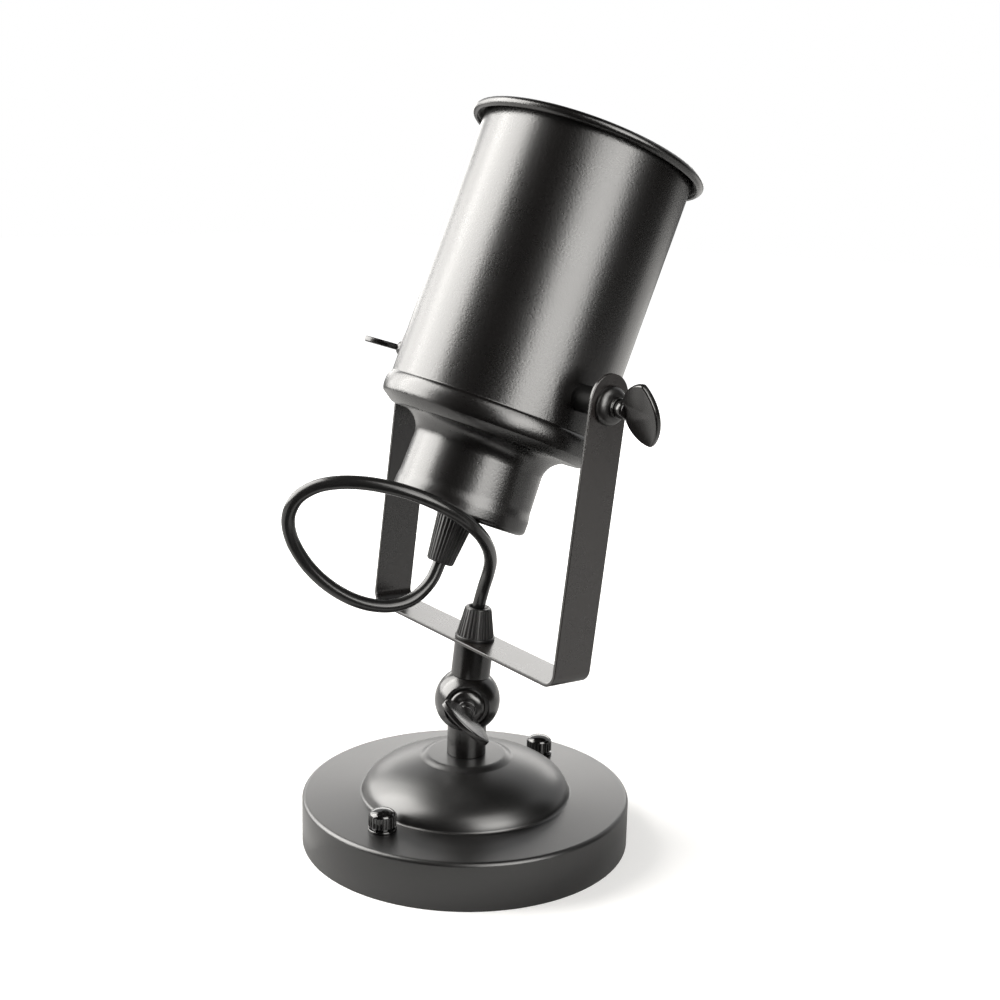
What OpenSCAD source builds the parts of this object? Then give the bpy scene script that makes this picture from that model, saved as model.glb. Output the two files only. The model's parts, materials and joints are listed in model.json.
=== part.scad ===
// Adjustable wall lamp: a round canopy carries a split-ball swivel, a U-shaped yoke and a spun shade.
// Millimetres. The origin is the centre of the canopy's wall face, and +Z points out of the wall.

/* [Canopy] */
// Outer radius of the canopy
canopy_r = 60; // [56:0.5:70]
// Height of the canopy's rim above the wall
rim_h = 17.5; // [15:0.5:24]
// Sheet thickness of the canopy
canopy_wall = 1; // [0.8:0.1:1.6]
// Rounding of the rim's upper edge
rim_edge_r = 1.5; // [0.5:0.1:3]
// Radius of the dome at its foot
dome_r = 38; // [34:0.5:39.5]
// Height of the dome over the rim, without its raised disc
dome_h = 15; // [12:0.5:20]
// Hollow fillet at the dome's foot
dome_fillet = 1.2; // [0.4:0.1:2]
// Radius of the raised disc under the post
disc_r = 15.5; // [13:0.5:18]
// Height of the raised disc over the dome
disc_h = 1; // [0.5:0.1:2]
// Half the width of the disc's soft shoulder
disc_shoulder = 1.8; // [0.8:0.1:2.2]

/* [Mounting bracket] */
// Half the distance between the two studs
stud_y = 45.2; // [43.5:0.1:50]
// Radius of the studs
stud_r = 1.95; // [1.5:0.05:2.4]
// Reach of the studs above the canopy's rim
stud_reach = 5; // [3:0.5:5.5]
// Length of the bracket
bracket_len = 106; // [102:1:108]
// Width of the bracket
bracket_w = 20; // [18:0.5:26]
// Sheet thickness of the bracket
bracket_t = 2; // [1.5:0.1:3]
// Half the distance between the wall screw slots
slot_y = 30; // [28:0.5:32]
// Length of a wall screw slot, end to end
slot_len = 12; // [8:0.5:14]
// Width of a wall screw slot
slot_w = 5; // [4:0.1:6]
// Radius of the supply cable hole
cable_hole_r = 5; // [4:0.25:6]

/* [Cap nuts] */
// Radius of a cap nut's foot ring
nut_r = 5; // [4.5:0.1:6]
// Height of a cap nut
nut_h = 7.7; // [7.5:0.1:10]
// Thickness of the foot ring
nut_ring_h = 1; // [0.6:0.1:1.5]
// Flutes round a cap nut
nut_flutes = 24; // [16:2:36]
// Depth of a flute
flute_depth = 0.3; // [0.15:0.05:0.5]

/* [Terminals] */
// Distance of the terminal block's middle from the lamp's axis
block_y = 14; // [12.5:0.5:15]
// Distance between the two poles
pole_pitch = 9; // [8.5:0.5:11]
// Length of a pole's clamp barrel
barrel_len = 13; // [11:0.5:14]
// Radius of a clamp barrel
barrel_r = 3.6; // [3.2:0.1:4]
// Height of the terminal block
block_h = 11; // [10:0.5:12]
// Radius of a terminal screw
terminal_screw_r = 1.4; // [1.2:0.1:1.6]
// Distance of the earth screw from the lamp's axis
earth_y = 13; // [12:0.5:16]
// Head radius of the screw that holds the terminal block
block_head_r = 1.9; // [1.7:0.05:2.1]
// Head radius of the earth screw
earth_head_r = 3.8; // [3.4:0.1:4.5]

/* [Post and swivel] */
// Radius of the post and of the swivel tube
tube_r = 7.1; // [6.8:0.1:8]
// Radius of the swivel ball
ball_r = 11.9; // [11:0.1:14]
// Height of the ball's centre above the wall
ball_z = 52.75; // [51:0.25:70]
// Radius of the round recess under the clamp screw
recess_r = 7.9; // [7:0.1:8.4]
// Distance from the ball's centre to the recess floor
recess_x = 7.4; // [6.5:0.1:7.8]
// Outer radius of the hollow threaded nipples
nipple_r = 5; // [4.5:0.1:5.2]
// Bore radius of the nipples
nipple_bore_r = 3.4; // [2.6:0.1:3.6]
// Thread engagement of a nipple in a tube
nipple_grip = 7; // [5:0.5:8]
// Radius of the washer under the canopy
base_washer_r = 10; // [8.5:0.5:12]
// Thickness of the washer under the canopy
base_washer_t = 1.5; // [1:0.1:2.5]
// Hexagon nut under the canopy, across its corners
base_nut_d = 17; // [15:0.5:20]
// Thickness of the nut under the canopy
base_nut_h = 4; // [3:0.5:5]

/* [Yoke] */
// Outer width over the yoke's arms
yoke_w = 102; // [96:0.5:112]
// Width of the yoke's strip
strip_w = 16.6; // [14.5:0.1:20]
// Thickness of the yoke's strip
strip_t = 1.2; // [1:0.1:2]
// Outer radius of the yoke's bends
bend_r = 5; // [3:0.5:9]
// Distance from the ball's centre to the crossbar's underside
bar_z = 22.5; // [20:0.5:32]
// Distance from the crossbar's underside to the pivot
pivot_h = 96.5; // [94:0.5:110]
// Distance from the pivot to the centre of an arm's round end
arm_end = 2.1; // [0:0.1:6]

/* [Shade] */
// Outer radius of the shade
shade_r = 38; // [35:0.5:41]
// Sheet thickness of the shade
shade_wall = 1; // [0.8:0.1:1.4]
// Distance from the pivot to the middle of the rolled rim
rim_up = 83.2; // [70:0.5:100]
// Radial width of the rolled rim
rim_w = 5.2; // [4.4:0.1:7]
// Thickness of the rolled rim along the shade
rim_t = 3.8; // [3:0.1:5]
// Distance from the pivot down to the bead's lower edge
bead_down = 19; // [16:0.5:22]
// Height of the bead
bead_h = 7.5; // [5:0.5:9]
// Bulge of the bead over the shade's wall
bead_out = 1.25; // [0.6:0.05:2]
// Width of the slanted shoulder under the bead
shoulder_w = 3.4; // [2:0.1:4.4]
// Drop of the shoulder under the bead
shoulder_drop = 2.3; // [1.5:0.1:3]
// Radius of the hollow bend from the shoulder to the neck
neck_bend_r = 7.75; // [5:0.25:9]
// Radius of the neck
neck_r = 23.5; // [22:0.25:25]
// Flare of the cup at its foot
cup_flare = 0.9; // [0:0.1:1.2]
// Height of the flared band at the cup's foot
foot_band = 5.3; // [3.5:0.1:7]
// Distance from the pivot down to the cup's foot
cup_down = 50.3; // [48:0.5:56]
// Rounding of the cup's foot
cup_edge_r = 2; // [1:0.1:3]
// Radius of the pivot bosses
boss_r = 4.6; // [4.3:0.1:6]
// Radius of a boss's rivet shank in the shade's wall
boss_shank_r = 3.4; // [3.2:0.1:4]

/* [Lampholder] */
// Outer radius of the lampholder
holder_r = 19; // [17.5:0.25:20.5]
// Distance from the pivot down to the lampholder's mouth
holder_mouth = 6; // [0:0.5:10]
// Thickness of the lampholder's floor
holder_floor = 11; // [10:0.5:13]
// Inner radius of the screw shell
shell_r = 13.3; // [13:0.05:13.6]
// Wall of the screw shell
shell_t = 1; // [0.6:0.1:1.4]
// Setback of the screw shell from the lampholder's mouth
shell_setback = 2.5; // [1:0.5:5]
// Radius of the centre contact
contact_r = 6.5; // [6:0.25:8]
// Depth of the well under the screw shell, which holds the centre contact
contact_well = 4; // [3.75:0.25:6]

/* [Thumb screws] */
// Radius of the screw shank
screw_r = 2.5; // [2:0.1:2.6]
// Length of the shank below the washer's seat
shank_len = 14; // [13.5:0.5:16]
// Radius of a domed washer
washer_r = 6.6; // [5.6:0.1:6.9]
// Height of a domed washer
washer_h = 3; // [2:0.1:3.5]
// Radius of the collar over the washer
collar_r = 3.4; // [3:0.1:4]
// Length of the collar
collar_h = 1.5; // [1:0.1:2]
// Length of the rounded neck
neck_len = 3.5; // [2.5:0.1:5]
// Width of the finger plate across the screw
plate_w = 21.4; // [16:0.2:26]
// Length of the finger plate along the screw
plate_len = 15; // [13:0.5:18]
// Distance from the finger plate's root to its tips
plate_tip = 10.4; // [8:0.2:11]
// Thickness of the finger plate
plate_t = 2.2; // [1.6:0.1:3]
// Turn of the right screw's plate
right_plate_turn = -68; // [-180:1:180]
// Turn of the left screw's plate
left_plate_turn = 12; // [-180:1:180]
// Turn of the swivel screw's plate
swivel_plate_turn = -43; // [-180:1:180]
// How far the left screw is backed out
left_backout = 2; // [0:0.5:8]

/* [Cord and grips] */
// Radius of the cord
cord_r = 2.3; // [1.8:0.05:2.6]
// Radius of a cord grip at its foot
grip_foot_r = 7.15; // [6.8:0.05:8]
// Radius of a cord grip at its mouth
grip_mouth_r = 4.9; // [4.4:0.1:5.4]
// Height of the lower cord grip
lower_grip_h = 11.7; // [11:0.1:20]
// Height of the upper cord grip
upper_grip_h = 18.1; // [16:0.1:20]
// Height of a grip's foot ring
grip_ring_h = 1.3; // [0.8:0.1:2]
// Ribs round a cord grip
grip_ribs = 28; // [18:2:36]
// Depth of a rib
rib_depth = 0.45; // [0.2:0.05:0.6]
// Nipple length inside a grip
grip_thread = 6; // [4:0.5:7]

/* [Pose] */
// Turn of the clamp screw about the lamp's axis
post_turn = -52; // [-180:1:180]
// Lean of the swivel
swivel_lean = 5.5; // [-30:0.5:30]
// Turn of the yoke on the swivel tube
yoke_turn = 41; // [0:1:90]
// Tilt of the shade in the yoke
shade_tilt = 17.5; // [0:0.5:30]

/* [Fits] */
// Radial clearance of shafts and threads
run_gap = 0.05; // [0.02:0.01:0.1]
// Gap between the swivel's two halves
face_gap = 0.1; // [0.05:0.01:0.2]
// Gap between a swivel tube and the other half of the ball
ball_gap = 0.3; // [0.2:0.05:0.6]
// Radial clearance of a screw's through hole
through_gap = 0.3; // [0.1:0.05:0.5]

/* [Hidden] */
$fn = 64;

// Overlap that lets cutters run past a face
eps = 0.5;
// Heights of the canopy's levels
dome_z = rim_h + dome_h * sqrt(1 - pow(disc_r / dome_r, 2));
disc_z = dome_z + disc_h;
disc_under = disc_z - canopy_wall;
// Levels along the swivel tube, from the ball's centre
bar_top = bar_z + strip_t;
pivot_z = bar_z + pivot_h;
lower_mouth = bar_top + lower_grip_h;
// Levels along the shade's axis, from the pivot
cup_z = -cup_down;
cup_floor = cup_z + shade_wall;
shoulder_z = -bead_down - shoulder_drop;
neck_z = shoulder_z - neck_bend_r;
bore_z = cup_floor + holder_floor;
shell_z = bore_z + contact_well;
upper_mouth = cup_z - upper_grip_h;
// Levels along a thumb screw, from the washer's seat
collar_z = washer_h;
neck_base = collar_z + collar_h;
plate_base = neck_base + neck_len - 1.1;
// Reach of the pivot bosses
boss_face = yoke_w / 2 - strip_t - run_gap;
// Depth of a grip's cord hole under its mouth
mouth_flare_h = 2;
// Hollow of a nipple nut and washers
m4_hole_r = stud_r + run_gap;

// Cord route from the upper grip to the lower grip, in the yoke's frame from the ball's centre
cord_free = [
    [-0.2, -23.7, 46.8], [-1.2, -29.6, 41.1], [-2.9, -36.7, 38.8], [-5.1, -44.3, 39.2], [-7.5, -51.5, 41.5],
    [-10, -58.3, 45.4], [-12.2, -64.2, 50.4], [-13.7, -69.2, 56.1], [-14.2, -73.5, 63], [-12.9, -76.1, 70.4],
    [-9.3, -75.8, 77.5], [-4, -72.6, 82.5], [1.6, -67.7, 85], [6.9, -61.7, 85.8], [11.7, -55.5, 85.3],
    [16, -49.1, 83.9], [19.5, -42.4, 81.5], [21.8, -35.3, 78.1], [22.1, -28.4, 74], [20.7, -22, 69.7],
    [17.9, -16.1, 65.2], [14.3, -10.7, 60.4], [10.2, -6.1, 55.3], [5.8, -2.6, 49.6], [2.1, -0.6, 43]
];
cord_sides = 8;
cord_steps = 2;

// Points of an arc about c, from angle a to angle b
function arc(c, r, a, b, n = 8) =
    [for (i = [0:n]) let (t = a + (b - a) * i / n) c + r * [cos(t), sin(t)]];

// Points of an ellipse's arc about c
function oval(c, rx, ry, a, b, n = 16) =
    [for (i = [0:n]) let (t = a + (b - a) * i / n) c + [rx * cos(t), ry * sin(t)]];

// Fluted outline with n ridges
function fluted(r, depth, n) =
    [for (i = [0:4 * n - 1]) let (t = 90 * i / n) (i % 4 < 2 ? r : r - depth) * [cos(t), sin(t)]];

// Fan-shaped finger plate: half an ellipse from its root to its tips, closed by a flat arc
function finger_plate(half_w, length, tip, n = 24) =
    let (sag = length - tip, r = (half_w * half_w + sag * sag) / (2 * sag), half = asin(min(1, half_w / r)))
    concat(
        oval([0, tip], half_w, tip, 180, 360, n),
        [for (i = [1:n / 2 - 1]) let (t = 90 - half + 4 * half * i / n) [0, length - r] + r * [cos(t), sin(t)]]);

// Smooth curve through the points of a route
function curve_point(a, b, c, d, t) =
    0.5 * (2 * b + (c - a) * t + (2 * a - 5 * b + 4 * c - d) * t * t + (3 * b - a - 3 * c + d) * t * t * t);
function curve(p, n) = let (last = len(p) - 1) concat(
    [for (i = [0:last - 1]) for (k = [0:n - 1])
        curve_point(p[max(i - 1, 0)], p[i], p[i + 1], p[min(i + 2, last)], k / n)],
    [p[last]]);
function unit(v) = v / norm(v);
function heading(p, i) = unit(p[min(i + 1, len(p) - 1)] - p[max(i - 1, 0)]);

// Side vectors carried along the curve without twist
function sides(p, i = 0, v = [1, 0, 0]) =
    let (h = heading(p, i), w = unit(v - h * (v * h)))
    i == len(p) - 1 ? [w] : concat([w], sides(p, i + 1, w));

module at_ball() { translate([0, 0, ball_z]) rotate([0, 0, post_turn]) children(); }
module at_head() { at_ball() rotate([-swivel_lean, 0, 0]) children(); }
module at_yoke() { at_head() rotate([0, 0, yoke_turn]) children(); }
module at_pivot() { at_yoke() translate([0, 0, pivot_z]) children(); }
module at_shade() { at_pivot() rotate([-shade_tilt, 0, 0]) children(); }
module at_studs() { for (side = [-1, 1]) translate([0, side * stud_y, 0]) children(); }

// Places a screw with its washer's seat at a distance along X, pointing away from the middle
module along_x(seat, side = 1) { rotate([0, 0, side > 0 ? 0 : 180]) translate([seat, 0, 0]) rotate([0, 90, 0]) children(); }

module tube(r, bore, h) {
    difference() {
        cylinder(r = r, h = h);
        translate([0, 0, -eps]) cylinder(r = bore, h = h + 2 * eps);
    }
}

module canopy_section() {
    under_r = dome_r - canopy_wall;
    foot_r = disc_r + disc_shoulder;
    foot_z = rim_h + dome_h * sqrt(1 - pow(foot_r / dome_r, 2));
    outer = concat(
        [[canopy_r, 0]],
        arc([canopy_r - rim_edge_r, rim_h - rim_edge_r], rim_edge_r, 0, 90),
        arc([dome_r + dome_fillet, rim_h + dome_fillet], dome_fillet, 270, 180, 4),
        [for (p = oval([0, rim_h], dome_r, dome_h, 0, acos(foot_r / dome_r), 20)) if (p[1] > rim_h + 2 * dome_fillet) p],
        [for (i = [1:8]) let (t = i / 8)
            [foot_r - 2 * disc_shoulder * t, foot_z + (disc_z - foot_z) * t * t * (3 - 2 * t)]]);
    inner = concat(
        [[disc_r - disc_h - canopy_wall, disc_under]],
        oval([0, rim_h - canopy_wall], under_r, dome_h, acos(disc_r / dome_r), 0, 20),
        [[canopy_r - canopy_wall, rim_h - canopy_wall], [canopy_r - canopy_wall, 0]]);
    polygon(concat(outer, [[nipple_r + run_gap, disc_z], [nipple_r + run_gap, disc_under]], inner));
}

module canopy() {
    color([0.13, 0.13, 0.14]) difference() {
        rotate_extrude($fn = 96) canopy_section();
        at_studs() cylinder(r = stud_r + through_gap, h = rim_h + eps);
    }
}

module mounting_bracket() {
    color([0.75, 0.76, 0.78]) linear_extrude(bracket_t) difference() {
        union() {
            square([bracket_w, bracket_len - bracket_w], center = true);
            for (side = [-1, 1]) translate([0, side * (bracket_len - bracket_w) / 2]) circle(bracket_w / 2);
        }
        for (side = [-1, 1]) translate([0, side * stud_y]) circle(m4_hole_r);
        for (side = [-1, 1]) translate([0, side * slot_y]) {
            square([slot_w, slot_len - slot_w], center = true);
            for (end = [-1, 1]) translate([0, end * (slot_len - slot_w) / 2]) circle(slot_w / 2);
        }
        circle(cable_hole_r);
        translate([0, -earth_y]) circle(m4_hole_r);
        translate([0, block_y]) circle(terminal_screw_r + run_gap);
    }
}

module bracket_studs() {
    color([0.75, 0.76, 0.78]) at_studs() cylinder(r = stud_r, h = rim_h + stud_reach);
}

module cap_nuts() {
    body_r = nut_r - 0.25;
    dome = body_r - flute_depth;
    dome_rise = 2.1;
    color([0.05, 0.05, 0.05]) at_studs() translate([0, 0, rim_h]) difference() {
        union() {
            cylinder(r = nut_r, h = nut_ring_h);
            cylinder(r = body_r - 2 * flute_depth, h = nut_ring_h + 2 * flute_depth);
            translate([0, 0, nut_ring_h + 2 * flute_depth])
                linear_extrude(nut_h - dome_rise - nut_ring_h - 2 * flute_depth)
                    polygon(fluted(body_r, flute_depth, nut_flutes));
            translate([0, 0, nut_h - dome_rise])
                rotate_extrude() polygon(concat([[0, 0]], oval([0, 0], dome, dome_rise, 0, 90, 8)));
        }
        translate([0, 0, -eps]) cylinder(r = m4_hole_r, h = stud_reach + eps + run_gap);
    }
}

module at_poles() { for (side = [-1, 1]) translate([side * pole_pitch / 2, block_y, bracket_t]) children(); }
module at_clamps() { at_poles() for (end = [-1, 1]) translate([0, end * barrel_len / 4, 0]) children(); }

module terminal_block() {
    wire_r = 1.7;
    tower_r = 2.6;
    color([0.93, 0.93, 0.9]) difference() {
        union() {
            at_poles() translate([0, 0, barrel_r]) rotate([90, 0, 0]) cylinder(r = barrel_r, h = barrel_len, center = true);
            translate([0, block_y, bracket_t + barrel_r / 2]) cube([pole_pitch + barrel_r, barrel_len, barrel_r], center = true);
            at_clamps() translate([0, 0, barrel_r]) cylinder(r = tower_r, h = block_h - barrel_r);
        }
        at_poles() translate([0, 0, barrel_r]) rotate([90, 0, 0]) cylinder(r = wire_r, h = barrel_len + 2 * eps, center = true);
        at_clamps() translate([0, 0, barrel_r]) cylinder(r = terminal_screw_r + run_gap, h = block_h);
        translate([0, block_y, 0]) cylinder(r = terminal_screw_r + run_gap, h = block_h);
        translate([0, block_y, bracket_t + barrel_r]) cylinder(r = block_head_r + run_gap, h = block_h);
    }
}

module terminal_screws() {
    head_drop = 1;
    color([0.8, 0.7, 0.4]) at_clamps() translate([0, 0, barrel_r + 0.4])
        cylinder(r = terminal_screw_r, h = block_h - barrel_r - head_drop);
}

module block_screw() {
    head_h = 1.4;
    color([0.75, 0.76, 0.78]) translate([0, block_y, 0]) {
        cylinder(r = terminal_screw_r, h = bracket_t + barrel_r + head_h / 2);
        translate([0, 0, bracket_t + barrel_r]) cylinder(r = block_head_r, h = head_h);
    }
}

earth_washer_h = 1;
module earth_screw() {
    head_h = 2.4;
    color([0.8, 0.7, 0.4]) translate([0, -earth_y, 0]) {
        cylinder(r = stud_r, h = bracket_t + earth_washer_h + head_h / 2);
        translate([0, 0, bracket_t + earth_washer_h]) cylinder(r = earth_head_r, h = head_h);
    }
}

module earth_washer() {
    color([0.75, 0.76, 0.78]) translate([0, -earth_y, bracket_t]) tube(earth_head_r + 0.6, m4_hole_r, earth_washer_h);
}

base_nut_z = disc_under - base_washer_t - base_nut_h;
module base_nipple() {
    spare = 3;
    foot_z = base_nut_z - spare;
    color([0.8, 0.8, 0.82]) translate([0, 0, foot_z]) tube(nipple_r, nipple_bore_r, disc_z + nipple_grip - 1 - foot_z);
}

module base_washer() {
    color([0.8, 0.8, 0.82]) translate([0, 0, disc_under - base_washer_t])
        tube(base_washer_r, nipple_r + run_gap, base_washer_t);
}

module base_nut() {
    color([0.8, 0.8, 0.82]) translate([0, 0, base_nut_z]) difference() {
        cylinder(d = base_nut_d, h = base_nut_h, $fn = 6);
        translate([0, 0, -eps]) cylinder(r = nipple_r + run_gap, h = base_nut_h + 2 * eps);
    }
}

// One half of the split ball, on the positive X side, with the tube that it carries along +Z
module half_swivel(tube_end) {
    reach = 2 * ball_r;
    difference() {
        union() {
            difference() {
                rotate([0, 90, 0]) sphere(ball_r);
                translate([face_gap / 2 - 2 * reach, -reach, -reach]) cube(2 * reach);
            }
            difference() {
                cylinder(r = tube_r, h = tube_end);
                intersection() {
                    rotate([0, 90, 0]) sphere(ball_r + ball_gap);
                    translate([face_gap / 2 - 2 * reach, -reach, -reach]) cube(2 * reach);
                }
            }
        }
        translate([0, 0, tube_end - nipple_grip]) cylinder(r = nipple_r + run_gap, h = nipple_grip + eps);
        translate([-reach, 0, 0]) rotate([0, 90, 0]) cylinder(r = screw_r + run_gap, h = 2 * reach);
    }
}

module post() {
    color([0.13, 0.13, 0.14]) at_ball() difference() {
        rotate([180, 0, 0]) half_swivel(ball_z - disc_z);
        translate([recess_x, 0, 0]) rotate([0, 90, 0]) cylinder(r = recess_r, h = ball_r);
    }
}

module swivel_head() {
    color([0.13, 0.13, 0.14]) at_head() rotate([0, 0, 180]) half_swivel(bar_z);
}

module yoke_nipple() {
    foot = bar_z - nipple_grip + 1;
    color([0.8, 0.8, 0.82]) at_head() translate([0, 0, foot]) tube(nipple_r, nipple_bore_r, bar_top + grip_thread - foot);
}

// Domed cup washer with its seat at z = 0
module domed_washer() {
    lip = 0.6;
    sheet = 1;
    rotate_extrude() polygon(concat(
        [[washer_r - sheet, 0], [washer_r, 0]],
        oval([collar_r, lip], washer_r - collar_r, washer_h - lip, 0, 90, 8),
        [[screw_r + run_gap, washer_h], [screw_r + run_gap, washer_h - sheet], [collar_r, washer_h - sheet]],
        oval([collar_r, lip], washer_r - collar_r - sheet, washer_h - lip - sheet, 90, 0, 6)));
}

// Thumb screw along +Z with its washer's seat at z = 0
module thumb_screw(turn) {
    waist_r = collar_r - 1;
    rotate([0, 0, turn]) {
        translate([0, 0, -shank_len]) cylinder(r = screw_r, h = shank_len + collar_z + collar_h / 2);
        translate([0, 0, collar_z]) cylinder(r = collar_r, h = collar_h);
        translate([0, 0, neck_base]) rotate_extrude() polygon(concat(
            [[0, neck_len], [0, -collar_h / 2], [waist_r, -collar_h / 2]],
            oval([waist_r, neck_len / 2], 0.7, neck_len / 2, -90, 90, 8)));
        translate([plate_t / 2, 0, plate_base]) rotate([90, 0, -90])
            linear_extrude(plate_t) polygon(finger_plate(plate_w / 2, plate_len, plate_tip));
    }
}

module swivel_washer() {
    color([0.1, 0.1, 0.1]) at_ball() along_x(recess_x) domed_washer();
}

module swivel_thumb_screw() {
    color([0.05, 0.05, 0.05]) at_ball() along_x(recess_x) thumb_screw(swivel_plate_turn);
}

// U outline of the bent strip, grown inwards by d
module yoke_outline(d) {
    r = bend_r - d;
    half = yoke_w / 2 - d;
    top = pivot_h + arm_end + strip_w;
    translate([-half, bend_r]) square([2 * half, top - bend_r]);
    translate([bend_r - yoke_w / 2, d]) square([yoke_w - 2 * bend_r, bend_r]);
    for (side = [-1, 1]) translate([side * (yoke_w / 2 - bend_r), bend_r]) circle(r);
}

module yoke() {
    arm_top = pivot_h + arm_end;
    color([0.12, 0.12, 0.13]) at_yoke() translate([0, 0, bar_z]) difference() {
        intersection() {
            rotate([90, 0, 0]) linear_extrude(strip_w, center = true) difference() {
                yoke_outline(0);
                yoke_outline(strip_t);
                translate([-yoke_w / 2 + strip_t, arm_top]) square([yoke_w - 2 * strip_t, 2 * strip_w]);
            }
            rotate([90, 0, 90]) linear_extrude(yoke_w + 2 * eps, center = true) union() {
                translate([-strip_w / 2, -eps]) square([strip_w, arm_top + eps]);
                translate([0, arm_top]) circle(strip_w / 2);
            }
        }
        translate([0, 0, -eps]) cylinder(r = nipple_r + run_gap, h = strip_t + 2 * eps);
        translate([-yoke_w, 0, pivot_h]) rotate([0, 90, 0]) cylinder(r = screw_r + run_gap, h = 2 * yoke_w);
    }
}

module pivot_washers() {
    color([0.1, 0.1, 0.1]) at_pivot() for (side = [-1, 1]) along_x(yoke_w / 2, side) domed_washer();
}

module left_thumb_screw() {
    color([0.05, 0.05, 0.05]) at_pivot() along_x(yoke_w / 2 + left_backout, -1) thumb_screw(left_plate_turn);
}

module right_thumb_screw() {
    color([0.05, 0.05, 0.05]) at_pivot() along_x(yoke_w / 2, 1) thumb_screw(right_plate_turn);
}

// Ribbed cord grip standing on z = 0 with its mouth upwards
module cord_grip(h) {
    shoulder_r = grip_foot_r - 0.35;
    mouth_r = cord_r + 1.1;
    difference() {
        union() {
            cylinder(r = grip_foot_r, h = grip_ring_h);
            translate([0, 0, grip_ring_h]) linear_extrude(h - grip_ring_h, scale = grip_mouth_r / shoulder_r)
                polygon(fluted(shoulder_r, rib_depth, grip_ribs));
        }
        translate([0, 0, -eps]) cylinder(r = nipple_r + run_gap, h = grip_thread + eps + run_gap);
        translate([0, 0, -eps]) cylinder(r = cord_r + run_gap, h = h + 2 * eps);
        translate([0, 0, h - mouth_flare_h])
            cylinder(r1 = cord_r + run_gap, r2 = mouth_r, h = mouth_flare_h + 0.01);
    }
}

module lower_cord_grip() {
    color([0.1, 0.1, 0.1]) at_yoke() translate([0, 0, bar_top]) cord_grip(lower_grip_h);
}

module upper_cord_grip() {
    color([0.1, 0.1, 0.1]) at_shade() translate([0, 0, cup_z]) rotate([180, 0, 0]) cord_grip(upper_grip_h);
}

// Point on the shade's axis, in the yoke's frame
function on_shade_axis(z) = [0, z * sin(shade_tilt), pivot_z + z * cos(shade_tilt)];

cord_route = concat(
    [for (d = [grip_thread + 1, upper_grip_h / 2, upper_grip_h]) on_shade_axis(cup_z - d)],
    cord_free,
    [[0, 0, lower_mouth], [0, 0, bar_top + grip_thread + 1]]);

module cord_loop() {
    path = curve(cord_route, cord_steps);
    side = sides(path);
    last = len(path) - 1;
    n = cord_sides;
    points = [for (i = [0:last]) let (v = side[i], w = cross(heading(path, i), v))
        for (k = [0:n - 1]) path[i] + cord_r * (cos(360 * k / n) * v + sin(360 * k / n) * w)];
    walls = [for (i = [0:last - 1]) for (k = [0:n - 1])
        let (a = i * n + k, b = i * n + (k + 1) % n) each [[a, a + n, b], [b, a + n, b + n]]];
    start = [for (k = [1:n - 2]) [0, k, k + 1]];
    end = [for (k = [1:n - 2]) [last * n, last * n + k + 1, last * n + k]];
    color([0.06, 0.06, 0.06]) at_yoke() polyhedron(points, concat(walls, start, end));
}

module shade_section() {
    foot_r = neck_r + cup_flare;
    band_z = cup_z + foot_band;
    above_r = neck_r + 0.4 * cup_flare;
    above_z = band_z + 4;
    bead_top = bead_h - bead_down;
    bead_mid = (bead_top - bead_down) / 2;
    inner_r = shade_r - shade_wall;
    hole_r = nipple_r + run_gap;
    outer = concat(
        [[hole_r, cup_z]],
        arc([foot_r - cup_edge_r, cup_z + cup_edge_r], cup_edge_r, -90, 0, 6),
        [[foot_r, band_z], [above_r, above_z]],
        arc([neck_r + neck_bend_r, neck_z], neck_bend_r, 180, 90, 12),
        [[shade_r - shoulder_w, shoulder_z]],
        oval([shade_r, bead_mid], bead_out, bead_h / 2, -60, 90, 12),
        [[shade_r, rim_up]]);
    inner = concat(
        [[inner_r, rim_up], [inner_r, bead_top], [inner_r, -bead_down + 0.6 * shade_wall]],
        [[shade_r - shoulder_w - 0.6 * shade_wall, shoulder_z + shade_wall]],
        arc([neck_r + neck_bend_r, neck_z], neck_bend_r + shade_wall, 90, 180, 12),
        [[above_r - shade_wall, above_z], [foot_r - shade_wall, band_z]],
        [[foot_r - shade_wall, cup_z + cup_edge_r], [foot_r - cup_edge_r, cup_floor], [hole_r, cup_floor]]);
    polygon(concat(outer, inner));
    translate([inner_r + rim_w / 2, rim_up]) polygon(oval([0, 0], rim_w / 2, rim_t / 2, 0, 345, 23));
}

module shade() {
    color([0.11, 0.11, 0.12]) at_shade() difference() {
        rotate_extrude($fn = 96) shade_section();
        rotate([0, 90, 0])
            cylinder(r = boss_shank_r + run_gap, h = 3 * shade_r, center = true);
    }
}

// Threaded bosses riveted through the shade's wall
module pivot_bosses() {
    lip_r = boss_shank_r + 1;
    lip_face = shade_r - shade_wall - 0.7;
    lip_h = 1;
    color([0.1, 0.1, 0.1]) at_shade() for (side = [-1, 1]) difference() {
        union() {
            difference() {
                along_x(0, side) cylinder(r = boss_r, h = boss_face);
                translate([0, 0, -2 * boss_r]) cylinder(r = shade_r, h = 4 * boss_r);
            }
            along_x(lip_face, side) cylinder(r = boss_shank_r, h = boss_face - lip_face);
            along_x(lip_face - lip_h, side) cylinder(r = lip_r, h = lip_h);
        }
        along_x(0, side) cylinder(r = screw_r + run_gap, h = boss_face + eps);
    }
}

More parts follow.
